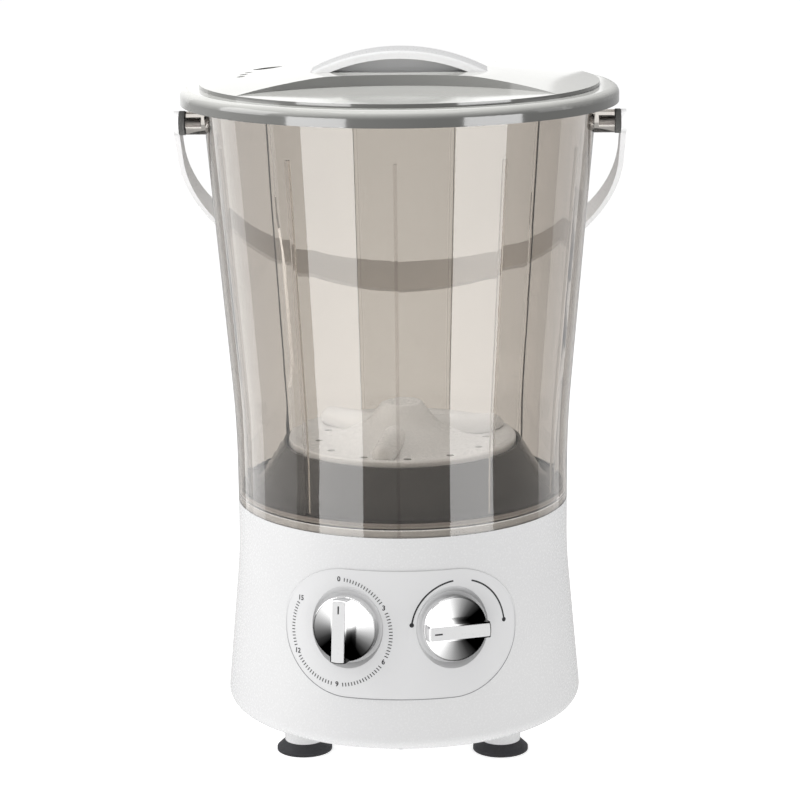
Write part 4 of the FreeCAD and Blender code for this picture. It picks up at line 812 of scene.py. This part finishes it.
for label in POINTER_TURN:
    mark = bmesh.new()
    add_bar(mark, GROOVE_WIDTH, GROOVE_LENGTH, Matrix.Translation((0, GROOVE_MIDDLE, GROOVE_FLOOR)))
    spindle = Matrix.Translation(joint_named[label + "_turn"]["pos_m"])
    bmesh.ops.transform(mark, matrix=spindle @ knob_rotation(label).to_4x4(), verts=mark.verts)
    finish_piece(label + "_mark", mark, print_ink, label + "_knob")

# %% [markdown]
# ## The seam round the panel
# A thin shadow line runs round the panel where it is let into the base. It starts as a flat rectangle: its
# corners are bevelled, its border is inset and kept, and the border is cut finely so that it can bend with
# the base. Rays from the front then lay it on the panel's face. Light from above fills the seam's upper
# half, so its tone fades to the panel's.

# %% Draw the panel's seam
SEAM_WIDTH, SEAM_MARGIN = 0.0006, 0.0002
SEAM_CORNER = 0.046
SEAM_CUTS = 24
LONG_EDGE = SEAM_CORNER / 8
SEAM_FADE = (0.080, 0.130)
PANEL_TONE = (0.79, 0.79, 0.795)
seam_tree = seam_shade.node_tree
seam_shader = seam_tree.nodes["Principled BSDF"]
fade = seam_tree.nodes.new("ShaderNodeMapRange")
fade.inputs["From Min"].default_value, fade.inputs["From Max"].default_value = SEAM_FADE
seam_tree.links.new(axes_of(seam_tree)["Z"], fade.inputs["Value"])
seam_dark = seam_shader.inputs["Base Color"].links[0].from_socket
seam_tree.links.new(tone_mix(seam_tree, fade.outputs["Result"], seam_dark, PANEL_TONE),
                    seam_shader.inputs["Base Color"])
seam = bmesh.new()
bmesh.ops.create_grid(seam, x_segments=1, y_segments=1, size=0.5)
bmesh.ops.scale(seam, verts=seam.verts, vec=(panel_high[0] - panel_low[0] - 2 * SEAM_MARGIN,
                                             panel_high[2] - panel_low[2] - 2 * SEAM_MARGIN, 1))
bmesh.ops.bevel(seam, geom=seam.verts[:], offset=SEAM_CORNER, offset_type="OFFSET", segments=SEAM_CUTS,
                profile=0.5, affect="VERTICES", material=-1)
bmesh.ops.inset_individual(seam, faces=seam.faces[:], thickness=SEAM_WIDTH, use_even_offset=True)
middle_face = max(seam.faces, key=lambda face: len(face.verts))
bmesh.ops.delete(seam, geom=[middle_face], context="FACES_ONLY")
long_edges = [edge for edge in seam.edges if edge.calc_length() > LONG_EDGE]
bmesh.ops.subdivide_edges(seam, edges=long_edges, cuts=SEAM_CUTS)
grown = bmesh.ops.extrude_face_region(seam, geom=seam.faces[:])["geom"]
raised = [g for g in grown if isinstance(g, bmesh.types.BMVert)]
bmesh.ops.translate(seam, verts=raised, vec=(0, 0, INK_PROUD))
for vertex in seam.verts:
    seen_from = Vector((vertex.co.x, -RAY_START, panel_middle + vertex.co.y))
    _, place, _, _ = panel.ray_cast(seen_from, Vector((0, 1, 0)))
    vertex.co = place - Vector((0, vertex.co.z, 0))
finish_piece("panel_seam", seam, seam_shade, "machine")

# %% [markdown]
# ## The seal round the tub's floor
# Where the floor pan meets the wall, a thin dark line runs round the tub. It is a bead of sealant: a small
# circle carried round the axis. A gasket of the same form lies under the pan's edge, inside the wall's ledge;
# it is a real part, but its pale colour is painted light that shows through the wall as a lighter band in the
# shade there.

# %% Lay the seal
FLOOR_TOP = 0.193
SEAL_RADIUS = 0.1240
SEAL_THICK = 0.0008
GASKET_RADIUS, GASKET_HEIGHT, GASKET_THICK = 0.1190, 0.1886, 0.0013


def add_hoop(drawing, radius, height, thick, segments=10, steps=160):
    """A round bead about the machine's axis."""
    place = Matrix.Translation((radius, 0, height)) @ Matrix.Rotation(math.radians(90), 4, "X")
    bmesh.ops.create_circle(drawing, segments=segments, radius=thick, matrix=place)
    bmesh.ops.spin(drawing, geom=drawing.edges[:] + drawing.verts[:], cent=(0, 0, 0), axis=(0, 0, 1),
                   angle=2 * math.pi, steps=steps, use_merge=True)


seal = bmesh.new()
add_hoop(seal, SEAL_RADIUS, FLOOR_TOP + SEAL_THICK, SEAL_THICK)
finish_piece("floor_seal", seal, seal_bead, "machine")
gasket = bmesh.new()
add_hoop(gasket, GASKET_RADIUS, GASKET_HEIGHT, GASKET_THICK)
finish_piece("floor_gasket", gasket, pale_gasket_painted_light, "machine")
